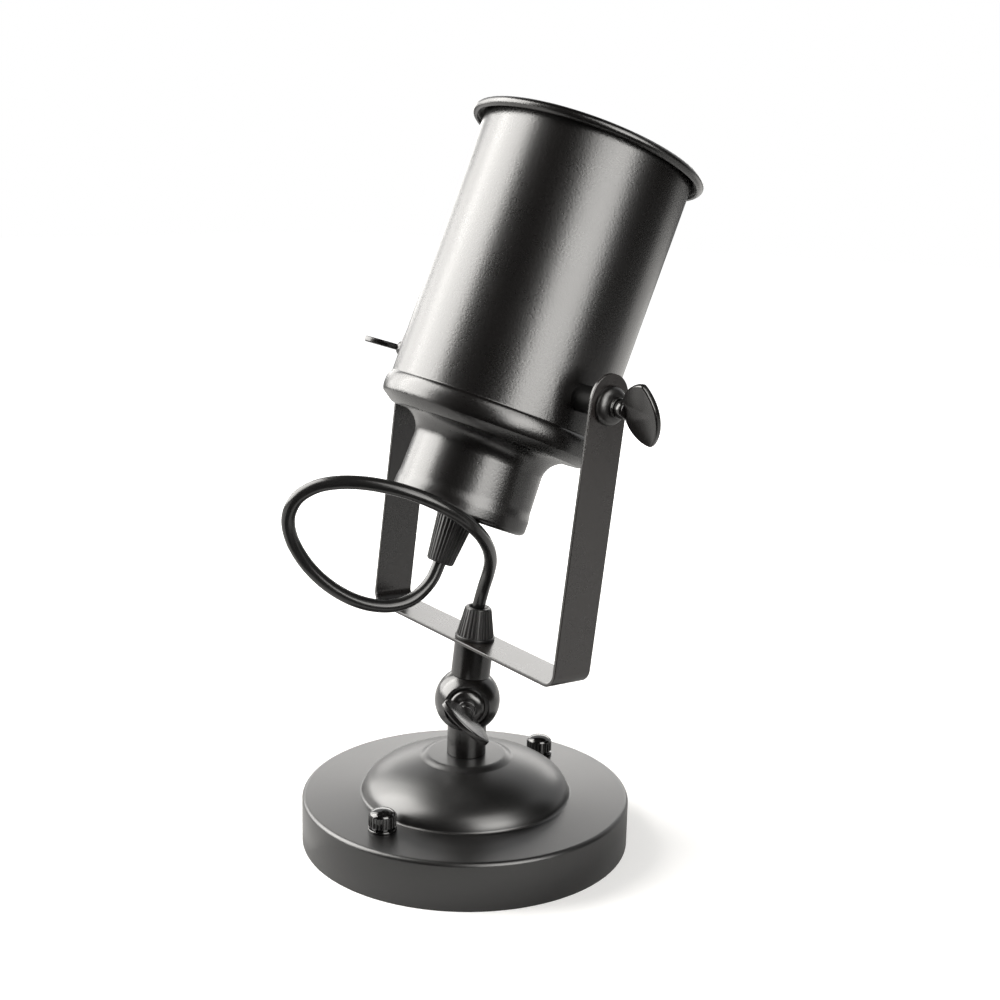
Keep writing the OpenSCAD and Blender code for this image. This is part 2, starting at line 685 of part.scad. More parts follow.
module lampholder() {
    waist_r = holder_r - 3;
    chamfer = 1.5;
    bore_r = shell_r + shell_t + run_gap;
    well_r = shell_r + shell_t / 3;
    nipple_hole_r = nipple_r + run_gap;
    top = -holder_mouth;
    color([0.1, 0.09, 0.09]) at_shade() rotate_extrude() polygon([
        [nipple_hole_r, cup_floor], [waist_r, cup_floor], [waist_r, cup_floor + 5], [holder_r, cup_floor + 8],
        [holder_r, top - 14], [holder_r - 0.8, top - 13], [holder_r - 0.8, top - 11], [holder_r, top - 10],
        [holder_r, top - chamfer], [holder_r - chamfer, top],
        [bore_r, top], [bore_r, shell_z], [well_r, shell_z], [well_r, bore_z], [nipple_hole_r, bore_z]
    ]);
}

module screw_shell() {
    color([0.83, 0.68, 0.35]) at_shade() translate([0, 0, shell_z])
        tube(shell_r + shell_t, shell_r, -holder_mouth - shell_setback - shell_z);
}

module centre_contact() {
    contact_t = 1;
    stud = 3.2;
    rise = 2.5;
    color([0.83, 0.68, 0.35]) at_shade() translate([0, 0, bore_z]) rotate_extrude()
        polygon(concat([[0, 0], [contact_r, 0], [contact_r, contact_t]], oval([0, contact_t], stud, rise, 0, 90, 6)));
}

module holder_nipple() {
    color([0.8, 0.8, 0.82]) at_shade() translate([0, 0, cup_z - grip_thread])
        tube(nipple_r, nipple_bore_r, bore_z - 1 - cup_z + grip_thread);
}

canopy();
mounting_bracket();
bracket_studs();
cap_nuts();
terminal_block();
terminal_screws();
block_screw();
earth_screw();
earth_washer();
base_nipple();
base_washer();
base_nut();
post();
swivel_washer();
swivel_head();
yoke_nipple();
swivel_thumb_screw();
yoke();
pivot_washers();
lower_cord_grip();
cord_loop();
shade();
pivot_bosses();
lampholder();
screw_shell();
centre_contact();
holder_nipple();
upper_cord_grip();
left_thumb_screw();
right_thumb_screw();
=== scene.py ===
"""Adjustable wall lamp: smooth visual pieces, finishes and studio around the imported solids."""

import json
import logging
import math
from dataclasses import dataclass, field
from enum import Enum
from functools import cache
from typing import Iterable, Sequence

import bmesh
import bpy
from mathutils import Matrix, Vector

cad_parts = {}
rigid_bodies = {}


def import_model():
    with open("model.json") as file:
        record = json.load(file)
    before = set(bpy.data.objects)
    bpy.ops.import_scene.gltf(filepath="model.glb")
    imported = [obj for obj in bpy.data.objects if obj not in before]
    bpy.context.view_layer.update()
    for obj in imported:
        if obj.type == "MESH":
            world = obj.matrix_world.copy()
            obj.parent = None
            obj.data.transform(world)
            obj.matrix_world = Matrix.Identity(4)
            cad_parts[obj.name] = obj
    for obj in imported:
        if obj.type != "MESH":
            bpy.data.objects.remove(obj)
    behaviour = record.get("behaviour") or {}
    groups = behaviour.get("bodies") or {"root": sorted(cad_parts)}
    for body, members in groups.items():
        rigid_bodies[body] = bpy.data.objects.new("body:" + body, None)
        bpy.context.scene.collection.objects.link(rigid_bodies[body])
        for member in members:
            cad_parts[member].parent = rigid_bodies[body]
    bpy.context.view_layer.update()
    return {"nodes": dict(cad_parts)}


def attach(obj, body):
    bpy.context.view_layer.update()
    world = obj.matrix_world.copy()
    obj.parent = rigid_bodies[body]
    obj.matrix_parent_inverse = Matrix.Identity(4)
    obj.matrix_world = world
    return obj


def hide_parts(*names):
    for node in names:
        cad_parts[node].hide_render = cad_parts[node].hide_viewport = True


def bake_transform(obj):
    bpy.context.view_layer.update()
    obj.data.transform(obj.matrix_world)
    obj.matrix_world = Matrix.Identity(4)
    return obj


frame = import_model()

LOG = logging.getLogger("wall_lamp")
MM = 0.001
ON_AXIS = 1e-6
WARM = (1.0, 0.98, 0.945)

Obj = bpy.types.Object
Socket = bpy.types.NodeSocket
Profile = list[tuple[float, float]]
Triple = tuple[float, float, float]
Number = float | int


class Body(str, Enum):
    """The moving bodies of the lamp."""

    BASE = "base"
    HEAD = "head"
    SWIVEL_SCREW = "swivel_screw"
    YOKE = "yoke"
    SHADE = "shade"
    LEFT_SCREW = "left_screw"
    RIGHT_SCREW = "right_screw"


class Slot(str, Enum):
    """The material slots of the record."""

    SATIN = "satin_black"
    GLOSS = "gloss_black"
    STEEL = "zinc_steel"
    BRASS = "brass"
    WHITE = "white_plastic"
    PLASTIC = "black_plastic"
    SHEATH = "cord_sheath"


class Operation(str, Enum):
    """How two closed meshes are put together."""

    UNION = "UNION"
    DIFFERENCE = "DIFFERENCE"


def spin(degrees: float, axis: str) -> Matrix:
    """A turn about an axis."""
    return Matrix.Rotation(math.radians(degrees), 4, axis)


def lift(z: float) -> Matrix:
    """A move along Z."""
    return Matrix.Translation((0, 0, z))


@dataclass(frozen=True)
class Pose:
    """Where the lamp's frames stand in the photographed pose, in millimetres and degrees."""

    post_turn: float = -52.0
    swivel_lean: float = 5.5
    yoke_turn: float = 41.0
    shade_tilt: float = 17.5
    ball_z: float = 52.75
    bar_z: float = 22.5
    pivot_h: float = 96.5

    def base(self) -> Matrix:
        """The part's own frame, taking millimetres."""
        return Matrix.Scale(MM, 4)

    def ball(self) -> Matrix:
        """The swivel ball's frame on the post, X along the clamp screw."""
        return self.base() @ lift(self.ball_z) @ spin(self.post_turn, "Z")

    def head(self) -> Matrix:
        """The leaning swivel head's frame."""
        return self.ball() @ spin(-self.swivel_lean, "X")

    def yoke(self) -> Matrix:
        """The yoke's frame at the ball's centre, X along the shade's pivot."""
        return self.head() @ spin(self.yoke_turn, "Z")

    def pivot(self) -> Matrix:
        """The yoke's frame moved up to the shade's pivot."""
        return self.yoke() @ lift(self.bar_z + self.pivot_h)

    def shade(self) -> Matrix:
        """The shade's frame, Z along its axis towards the mouth."""
        return self.pivot() @ spin(-self.shade_tilt, "X")

    def along_x(self, place: Matrix, seat: float, side: int = 1) -> Matrix:
        """A screw's frame on the X axis of a place, with Z pointing out along the screw.

        Args:
            place: The frame whose X axis carries the screw.
            seat: Distance from the frame's origin to the washer's seat.
            side: 1 for the positive end of the axis and -1 for the other.

        Returns:
            The screw's frame.
        """
        half = spin(0 if side > 0 else 180, "Z")
        return place @ half @ Matrix.Translation((seat, 0, 0)) @ spin(90, "Y")


POSE = Pose()


def circle(r: float, steps: int) -> Profile:
    """Points round a circle about the origin."""
    return [(r * math.cos(t), r * math.sin(t)) for t in (2 * math.pi * i / steps for i in range(steps))]


def arc(cx: float, cz: float, r: float, start: float, end: float, n: int = 12) -> Profile:
    """Points of a circular arc, given as oval() takes them."""
    return oval(cx, cz, r, r, start, end, n)


def oval(cx: float, cz: float, rx: float, rz: float, start: float, end: float, n: int) -> Profile:
    """Points of an elliptical arc.

    Args:
        cx: Centre's distance from the axis.
        cz: Centre's height.
        rx: Half width.
        rz: Half height.
        start: First angle in degrees.
        end: Last angle in degrees.
        n: Number of steps.

    Returns:
        The points from start to end.
    """
    steps = (math.radians(start + (end - start) * i / n) for i in range(n + 1))
    return [(cx + rx * math.cos(t), cz + rz * math.sin(t)) for t in steps]


class Sock:
    """A node's socket that takes part in arithmetic; each operation adds a Math node."""

    def __init__(self, tree: "Tree", socket: Socket) -> None:
        """Keeps the socket and the tree it belongs to."""
        self.tree = tree
        self.socket = socket

    def math(self, operation: str, other: "Sock | Number" = 0.0) -> "Sock":
        """One Math node of this value and another."""
        return self.tree.math(operation, self, other)

    def __add__(self, other: "Sock | Number") -> "Sock":
        """Sum."""
        return self.math("ADD", other)

    __radd__ = __add__

    def __sub__(self, other: "Sock | Number") -> "Sock":
        """Difference."""
        return self.math("SUBTRACT", other)

    def __rsub__(self, other: Number) -> "Sock":
        """Difference from a number."""
        return self.tree.math("SUBTRACT", other, self)

    def __mul__(self, other: "Sock | Number") -> "Sock":
        """Product."""
        return self.math("MULTIPLY", other)

    __rmul__ = __mul__

    def __truediv__(self, other: "Sock | Number") -> "Sock":
        """Quotient."""
        return self.math("DIVIDE", other)

    def __rtruediv__(self, other: Number) -> "Sock":
        """A number's quotient."""
        return self.tree.math("DIVIDE", other, self)

    def limited(self) -> "Sock":
        """The value held between 0 and 1."""
        return self.tree.node("ShaderNodeClamp", {}, {0: self})


class Tree:
    """A node tree under construction."""

    def __init__(self, tree: bpy.types.NodeTree) -> None:
        """Starts from an empty tree."""
        self.tree = tree
        tree.nodes.clear()

    def node(
        self, kind: str, settings: dict[str, object], inputs: dict[str | int, object], out: str | int = 0
    ) -> Sock:
        """Adds a node.

        Args:
            kind: The node's type.
            settings: Properties set before anything else.
            inputs: Values or sockets by input name or index.
            out: Name or index of the output to hand back.

        Returns:
            The chosen output.
        """
        made = self.tree.nodes.new(kind)
        for key, value in settings.items():
            setattr(made, key, value)
        for key, value in inputs.items():
            self.feed(made.inputs[key], value)
        return Sock(self, made.outputs[out])

    def math(self, operation: str, a: Sock | Number, b: Sock | Number) -> Sock:
        """One Math node of two values."""
        return self.node("ShaderNodeMath", {"operation": operation}, {0: a, 1: b})

    def feed(self, target: Socket, value: object) -> None:
        """Links a socket or sets a plain value.

        Args:
            target: The input.
            value: A socket or a plain value.
        """
        if isinstance(value, Sock):
            self.tree.links.new(value.socket, target)
        else:
            target.default_value = value

    def end(self, kind: str, value: Sock) -> None:
        """Adds the tree's output node."""
        self.feed(self.tree.nodes.new(kind).inputs[0], value)


class Shader(Tree):
    """A material under construction, with its principled shader."""

    def __init__(self, name: str) -> None:
        """Starts a material.

        Args:
            name: Its name.
        """
        self.material = bpy.data.materials.new(name)
        self.material.use_nodes = True
        super().__init__(self.material.node_tree)
        self.bsdf = self.tree.nodes.new("ShaderNodeBsdfPrincipled")
        self.end("ShaderNodeOutputMaterial", Sock(self, self.bsdf.outputs[0]))

    def set(self, **values: object) -> None:
        """Feeds the principled shader; underscores stand for the spaces in a socket's name."""
        for key, value in values.items():
            self.feed(self.bsdf.inputs[key.replace("_", " ")], value)

    def place(self) -> Sock:
        """Object coordinates in metres."""
        return self.node("ShaderNodeTexCoord", {}, {}, "Object")

    def noise(self, scale: float, detail: float, place: Sock | None = None) -> Sock:
        """Noise of about 1/scale metres between bumps, from 0 to 1."""
        where = place or self.place()
        return self.node("ShaderNodeTexNoise", {}, {"Vector": where, "Scale": scale, "Detail": detail})

    def stretched(self, place: Sock, scale: Triple) -> Sock:
        """Coordinates scaled by axis, for drawn marks."""
        return self.node("ShaderNodeMapping", {}, {"Vector": place, "Scale": scale})

    def mix(self, factor: Sock, a: Triple | Sock, b: Triple | Sock) -> Sock:
        """Colour between a and b by a factor."""
        first, last = (c if isinstance(c, Sock) else (*c, 1.0) for c in (a, b))
        return self.node("ShaderNodeMix", {"data_type": "RGBA"}, {0: factor, 6: first, 7: last}, 2)

    def bump(self, height: Sock, depth: float, strength: float = 1.0) -> Sock:
        """A normal from a height between 0 and 1, depth metres deep."""
        return self.node("ShaderNodeBump", {}, {"Height": height, "Distance": depth, "Strength": strength})


@dataclass(frozen=True)
class Coat:
    """A sprayed or moulded finish with a fine grain, between a light tone and a dark one; sizes in metres."""

    name: str
    slot: Slot
    tone: Triple
    dark: Triple
    roughness: float
    rough_spread: float
    grain_depth: float
    grain: float = 0.0009
    specular: float = 1.0
    mottling: float = 0.02
    finer: float = 2.7

    def material(self) -> bpy.types.Material:
        """Builds the finish.

        Returns:
            The material.
        """
        sh = Shader(self.name)
        cloud = sh.noise(1 / self.mottling, 3.0)
        grain = sh.noise(1 / self.grain, 3.0)
        fine = sh.noise(self.finer / self.grain, 2.0)
        sh.set(
            Base_Color=sh.mix(cloud * 0.7 + grain * 0.3, self.dark, self.tone),
            Roughness=(cloud - 0.5) * self.rough_spread + (grain - 0.5) * self.rough_spread + self.roughness,
            Specular_IOR_Level=self.specular,
            Normal=sh.bump(grain * 0.75 + fine * 0.25, self.grain_depth),
        )
        return sh.material


@dataclass(frozen=True)
class Metal:
    """A bare or plated metal with fine drawn marks."""

    name: str
    slot: Slot
    tone: Triple
    dark: Triple
    roughness: float
    drawn: Triple = (900.0, 900.0, 60.0)
    depth: float = 0.00001
    relief: float = 0.6
    spot_scale: float = 180.0
    mark_spread: float = 0.16
    spot_spread: float = 0.1

    def material(self) -> bpy.types.Material:
        """Builds the finish.

        Returns:
            The material.
        """
        sh = Shader(self.name)
        marks = sh.noise(1.0, 3.0, sh.stretched(sh.place(), self.drawn))
        spots = sh.noise(self.spot_scale, 3.0)
        sh.set(
            Base_Color=sh.mix(spots, self.dark, self.tone),
            Metallic=1.0,
            Roughness=(marks - 0.5) * self.mark_spread + (spots - 0.5) * self.spot_spread + self.roughness,
            Normal=sh.bump(marks, self.depth, self.relief),
        )
        return sh.material


@dataclass(frozen=True)
class Sheath:
    """The cord's smooth sheath, with faint lengthwise waves from its extrusion."""

    name: str
    slot: Slot
    tone: Triple = (0.012, 0.0118, 0.0115)
    dark: Triple = (0.006, 0.006, 0.006)
    drawn: Triple = (45.0, 3.0, 1.0)
    depth: float = 0.00004
    specular: float = 0.6
    roughness: float = 0.2
    wave_spread: float = 0.06
    speck_spread: float = 0.08
    speck_scale: float = 900.0

    def material(self) -> bpy.types.Material:
        """Builds the finish on the tube's own UV map, in metres along and round it.

        Returns:
            The material.
        """
        sh = Shader(self.name)
        along = sh.node("ShaderNodeUVMap", {"uv_map": "length"}, {})
        waves = sh.noise(1.0, 3.0, sh.stretched(along, self.drawn))
        specks = sh.noise(self.speck_scale, 2.0)
        sh.set(
            Base_Color=sh.mix(waves, self.dark, self.tone),
            Roughness=(specks - 0.5) * self.speck_spread + waves * self.wave_spread + self.roughness,
            Specular_IOR_Level=self.specular,
            Normal=sh.bump(waves * 0.8 + specks * 0.2, self.depth),
        )
        return sh.material


class Finish(Enum):
    """Every finish of the lamp."""

    SHADE = Coat(
        "shade_powder_coat", Slot.SATIN, (0.00252, 0.00198, 0.00185), (0.00153, 0.00122, 0.00113),
        0.28, 0.05, 0.000058, grain=0.0008,
    )
    BOSS = Coat(
        "boss_dull_coat", Slot.SATIN, (0.003, 0.0028, 0.0027), (0.002, 0.0019, 0.0018),
        0.55, 0.05, 0.000008, specular=0.3,
    )
    WASHER = Coat(
        "washer_satin_coat", Slot.GLOSS, (0.006, 0.0052, 0.005), (0.0036, 0.0032, 0.0031), 0.34, 0.05, 0.000005
    )
    CANOPY = Coat(
        "canopy_satin_coat", Slot.SATIN, (0.00252, 0.00234, 0.00225), (0.00162, 0.00148, 0.00144),
        0.34, 0.04, 0.000004, grain=0.0008,
    )
    YOKE = Coat("yoke_satin_coat", Slot.SATIN, (0.0125, 0.0105, 0.0098), (0.009, 0.0075, 0.007), 0.28, 0.04, 0.000004)
    TUBE = Coat(
        "swivel_satin_coat", Slot.SATIN, (0.0052, 0.0045, 0.0042), (0.0032, 0.0028, 0.0027), 0.24, 0.03, 0.000003
    )
    LACQUER = Coat(
        "gloss_lacquer", Slot.GLOSS, (0.0062, 0.0054, 0.0052), (0.0036, 0.0032, 0.0031), 0.24, 0.05, 0.000005
    )
    NUT = Coat("nut_lacquer", Slot.GLOSS, (0.0035, 0.0033, 0.0032), (0.002, 0.002, 0.002), 0.13, 0.03, 0.000004)
    GRIP = Coat(
        "grip_plastic", Slot.PLASTIC, (0.012, 0.0117, 0.0115), (0.007, 0.007, 0.007),
        0.36, 0.08, 0.00001, grain=0.0005, specular=0.6,
    )
    HOLDER = Coat(
        "holder_plastic", Slot.PLASTIC, (0.02, 0.018, 0.017), (0.012, 0.011, 0.0105), 0.3, 0.1, 0.000012, specular=0.6
    )
    BLOCK = Coat(
        "block_plastic", Slot.WHITE, (0.78, 0.78, 0.75), (0.68, 0.68, 0.65),
        0.42, 0.08, 0.000012, grain=0.0006, specular=0.5,
    )
    STEEL = Metal("zinc_plate", Slot.STEEL, (0.66, 0.67, 0.69), (0.52, 0.53, 0.56), 0.34)
    BRASS = Metal("bare_brass", Slot.BRASS, (0.83, 0.63, 0.27), (0.66, 0.48, 0.18), 0.27)
    SHEATH = Sheath("cord_sheath", Slot.SHEATH)

    @cache
    def material(self) -> bpy.types.Material:
        """The finish as a material, made once."""
        return self.value.material()


def add(name: str, data: bpy.types.ID) -> Obj:
    """A new object in the scene."""
    made = bpy.data.objects.new(name, data)
    bpy.context.scene.collection.objects.link(made)
    return made


def smooth(obj: Obj, crisp: float) -> Obj:
    """Shades a piece smooth, with edges sharper than an angle in degrees kept crisp."""
    obj.data.shade_smooth()
    obj.data.set_sharp_from_angle(angle=math.radians(crisp))
    return obj


class Solid:
    """A mesh in millimetres that becomes a piece of the lamp."""

    def __init__(self, name: str, place: Matrix) -> None:
        """Starts an empty mesh in a frame that takes millimetres."""
        self.name = name
        self.place = place
        self.bm = bmesh.new()

    def skin(self, rings: list[list[bmesh.types.BMVert]], closed: bool) -> "Solid":
        """Adds faces between rings of points.

        Args:
            rings: Rings in order, each with as many points as the others or with a single one.
            closed: Whether the last ring joins the first.

        Returns:
            This solid.
        """
        for low, high in zip(rings, rings[1:] + (rings[:1] if closed else [])):
            steps = max(len(low), len(high))
            for i in range(steps):
                j = (i + 1) % steps
                corners = [low[i % len(low)], low[j % len(low)], high[j % len(high)], high[i % len(high)]]
                unique = list(dict.fromkeys(corners))
                if len(unique) > 2:
                    self.bm.faces.new(unique)
        return self

    def lathe(self, profile: Profile, steps: int = 128, closed: bool = True) -> "Solid":
        """Adds a solid of revolution about Z.

        Args:
            profile: Points of radius and height.
            steps: Segments round the axis.
            closed: Whether the last point joins the first; an open profile ends on the axis.

        Returns:
            This solid.
        """
        rings = []
        for r, z in profile:
            spots = [(0, 0)] if abs(r) < ON_AXIS else circle(r, steps)
            rings.append([self.bm.verts.new((x, y, z)) for x, y in spots])
        return self.skin(rings, closed)

    def sheet(self, outline: Profile, depth: float) -> "Solid":
        """Adds a plate.

        Args:
            outline: Its flat outline in X and Z.
            depth: Its thickness across Y.

        Returns:
            This solid.
        """
        back, front = ([self.bm.verts.new((x, y, z)) for x, z in outline] for y in (-depth / 2, depth / 2))
        self.bm.faces.new(back)
        self.bm.faces.new(front[::-1])
        for i in range(len(back)):
            j = (i + 1) % len(back)
            self.bm.faces.new((back[j], back[i], front[i], front[j]))
        return self

    def rounded(self, width: float, segments: int, least: float = 40.0) -> "Solid":
        """Rounds the sharp edges.

        Args:
            width: How far the rounding reaches from an edge.
            segments: Its steps.
            least: The least angle in degrees of an edge that is rounded.

        Returns:
            This solid.
        """
        self.bm.normal_update()
        edges = [e for e in self.bm.edges if e.is_manifold and e.calc_face_angle(0) > math.radians(least)]
        bmesh.ops.bevel(
            self.bm, geom=edges, offset=width, segments=segments, profile=0.5, affect="EDGES", clamp_overlap=True
        )
        return self

    def turned(self, matrix: Matrix) -> "Solid":
        """Moves what has been made so far within the solid's own frame."""
        bmesh.ops.transform(self.bm, matrix=matrix, verts=self.bm.verts)
        return self

    def object(self, crisp: float | None = None) -> Obj:
        """Ends the mesh.

        Args:
            crisp: The angle in degrees of the edges that stay crisp, or None to leave the shading flat.

        Returns:
            An object in the part's frame, still without finish or body.
        """
        bmesh.ops.remove_doubles(self.bm, verts=self.bm.verts, dist=1e-5)
        bmesh.ops.recalc_face_normals(self.bm, faces=self.bm.faces)
        self.bm.transform(self.place)
        mesh = bpy.data.meshes.new(self.name)
        self.bm.to_mesh(mesh)
        self.bm.free()
        made = add(self.name, mesh)
        return made if crisp is None else smooth(made, crisp)


def bake(obj: Obj) -> None:
    """Turns an object's modifiers into a plain mesh.

    Args:
        obj: The object, which keeps its name.
    """
    bpy.context.view_layer.update()
    graph = bpy.context.evaluated_depsgraph_get()
    mesh = bpy.data.meshes.new_from_object(obj.evaluated_get(graph))
    obj.modifiers.clear()
    old = obj.data
    obj.data = mesh
    bpy.data.meshes.remove(old)
    mesh.name = obj.name


def cut(obj: Obj, tool: Obj, operation: Operation) -> Obj:
    """Joins or cuts two closed meshes.

    Args:
        obj: The mesh that is kept.
        tool: The mesh that is used up.
        operation: What is done with them.

    Returns:
        The kept object with its new mesh.
    """
    modifier = obj.modifiers.new("join", "BOOLEAN")
    modifier.operation = operation.value
    modifier.solver = "EXACT"
    modifier.object = tool
    bake(obj)
    bpy.data.objects.remove(tool)
    return obj


def join(main: Obj, *others: Obj) -> Obj:
    """Takes other meshes into one object and removes them.

    Args:
        main: The object that is kept.
        others: The objects that are used up.

    Returns:
        The kept object.
    """
    bm = bmesh.new()
    for o in (main, *others):
        bm.from_mesh(o.data)
    bm.to_mesh(main.data)
    bm.free()
    for o in others:
        bpy.data.objects.remove(o)
    return main


def dress(obj: Obj, finish: Finish, body: Body, nodes: Iterable[str]) -> None:
    """Gives a piece its finish and its body, and hides the CAD nodes it stands for.

    Args:
        obj: The piece.
        finish: Its finish.
        body: The body it rides on.
        nodes: The CAD nodes that it stands for and hides.
    """
    obj.data.materials.clear()
    obj.data.materials.append(finish.material())
    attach(obj, body.value)
    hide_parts(*nodes)
    LOG.info("%s rides on %s", obj.name, body.value)


class Pattern(Tree):
    """A Geometry Nodes tree for what repeats, with named inputs and a material."""

    def __init__(self, name: str, counts: Sequence[str], sizes: Sequence[str]) -> None:
        """Starts a tree.

        Args:
            name: The tree's name.
            counts: Names of its whole numbers.
            sizes: Names of its other numbers.
        """
        super().__init__(bpy.data.node_groups.new(name, "GeometryNodeTree"))
        kinds = dict.fromkeys(counts, "Int") | dict.fromkeys(sizes, "Float") | {"Material": "Material"}
        face = self.tree.interface
        self.ids = {
            key: face.new_socket(key, in_out="INPUT", socket_type=f"NodeSocket{kind}").identifier
            for key, kind in kinds.items()
        }
        face.new_socket("Geometry", in_out="OUTPUT", socket_type="NodeSocketGeometry")
        entry = self.tree.nodes.new("NodeGroupInput")
        self.given = {key: Sock(self, entry.outputs[key]) for key in kinds}

    def finish(self, geometry: Sock) -> "Pattern":
        """Ends the tree with real geometry in the chosen material.

        Args:
            geometry: What the tree has made.

        Returns:
            This tree.
        """
        real = self.node("GeometryNodeRealizeInstances", {}, {"Geometry": geometry})
        given = {"Geometry": real, "Material": self.given["Material"]}
        self.end("NodeGroupOutput", self.node("GeometryNodeSetMaterial", {}, given))
        return self

    def mesh(self, name: str, place: Matrix, finish: Finish, values: dict[str, Number]) -> Obj:
        """Runs the tree on an empty mesh.

        Args:
            name: The new object's name.
            place: Frame of the result, which is made in millimetres.
            finish: Finish of the result.
            values: The tree's numbers by name.

        Returns:
            An object with a plain mesh in the part's frame.
        """
        obj = add(name, bpy.data.meshes.new(name))
        modifier = obj.modifiers.new("tree", "NODES")
        modifier.node_group = self.tree
        for key, value in {**values, "Material": finish.material()}.items():
            modifier[self.ids[key]] = value
        bake(obj)
        obj.data.transform(place)
        return obj


@cache
def rib_ring() -> Pattern:
    """Tapered ribs that stand round an axis between a lower and an upper ring.

    Returns:
        The tree, made once.
    """
    sizes = [f"{end} {what}" for what in ("Radius", "Height", "Rib") for end in ("Low", "High")]
    t = Pattern("rib_ring", ["Count"], sizes)
    given = t.given
    fall = given["Low Radius"] - given["High Radius"]
    rise = given["High Height"] - given["Low Height"]
    length = (fall * fall + rise * rise).math("SQRT")
    lean = fall.math("ARCTAN2", rise) * -1.0
    shape = {"Vertices": 10, "Radius Top": given["High Rib"], "Radius Bottom": given["Low Rib"], "Depth": length}
    rib = t.node("GeometryNodeMeshCone", {"fill_type": "NGON"}, shape, "Mesh")
    stand = t.node("ShaderNodeCombineXYZ", {}, {"X": given["Low Radius"], "Z": given["Low Height"]})
    tilt = t.node("ShaderNodeCombineXYZ", {}, {"Y": lean})
    placed = t.node("GeometryNodeTransform", {}, {"Geometry": rib, "Translation": stand, "Rotation": tilt})
    points = t.node("GeometryNodeMeshLine", {}, {"Count": given["Count"], "Offset": (0.0, 0.0, 0.0)})
    angle = t.node("GeometryNodeInputIndex", {}, {}) * (2 * math.pi / given["Count"])
    turn = t.node("ShaderNodeCombineXYZ", {}, {"Z": angle})
    return t.finish(
        t.node("GeometryNodeInstanceOnPoints", {}, {"Points": points, "Instance": placed, "Rotation": turn})
    )


@cache
def thread() -> Pattern:
    """A screw thread: a small section swept along a helix about Z.

    Returns:
        The tree, made once.
    """
    t = Pattern("thread", ["Sides"], ["Radius", "Turns", "Height", "Section"])
    radius = t.given["Radius"]
    helix = t.node("GeometryNodeCurveSpiral", {}, {
        "Resolution": 48, "Rotations": t.given["Turns"], "Start Radius": radius, "End Radius": radius,
        "Height": t.given["Height"],
    })
    section = t.node(
        "GeometryNodeCurvePrimitiveCircle", {"mode": "RADIUS"},
        {"Resolution": t.given["Sides"], "Radius": t.given["Section"]},
    )
    swept = t.node("GeometryNodeCurveToMesh", {}, {"Curve": helix, "Profile Curve": section, "Fill Caps": True})
    return t.finish(swept)


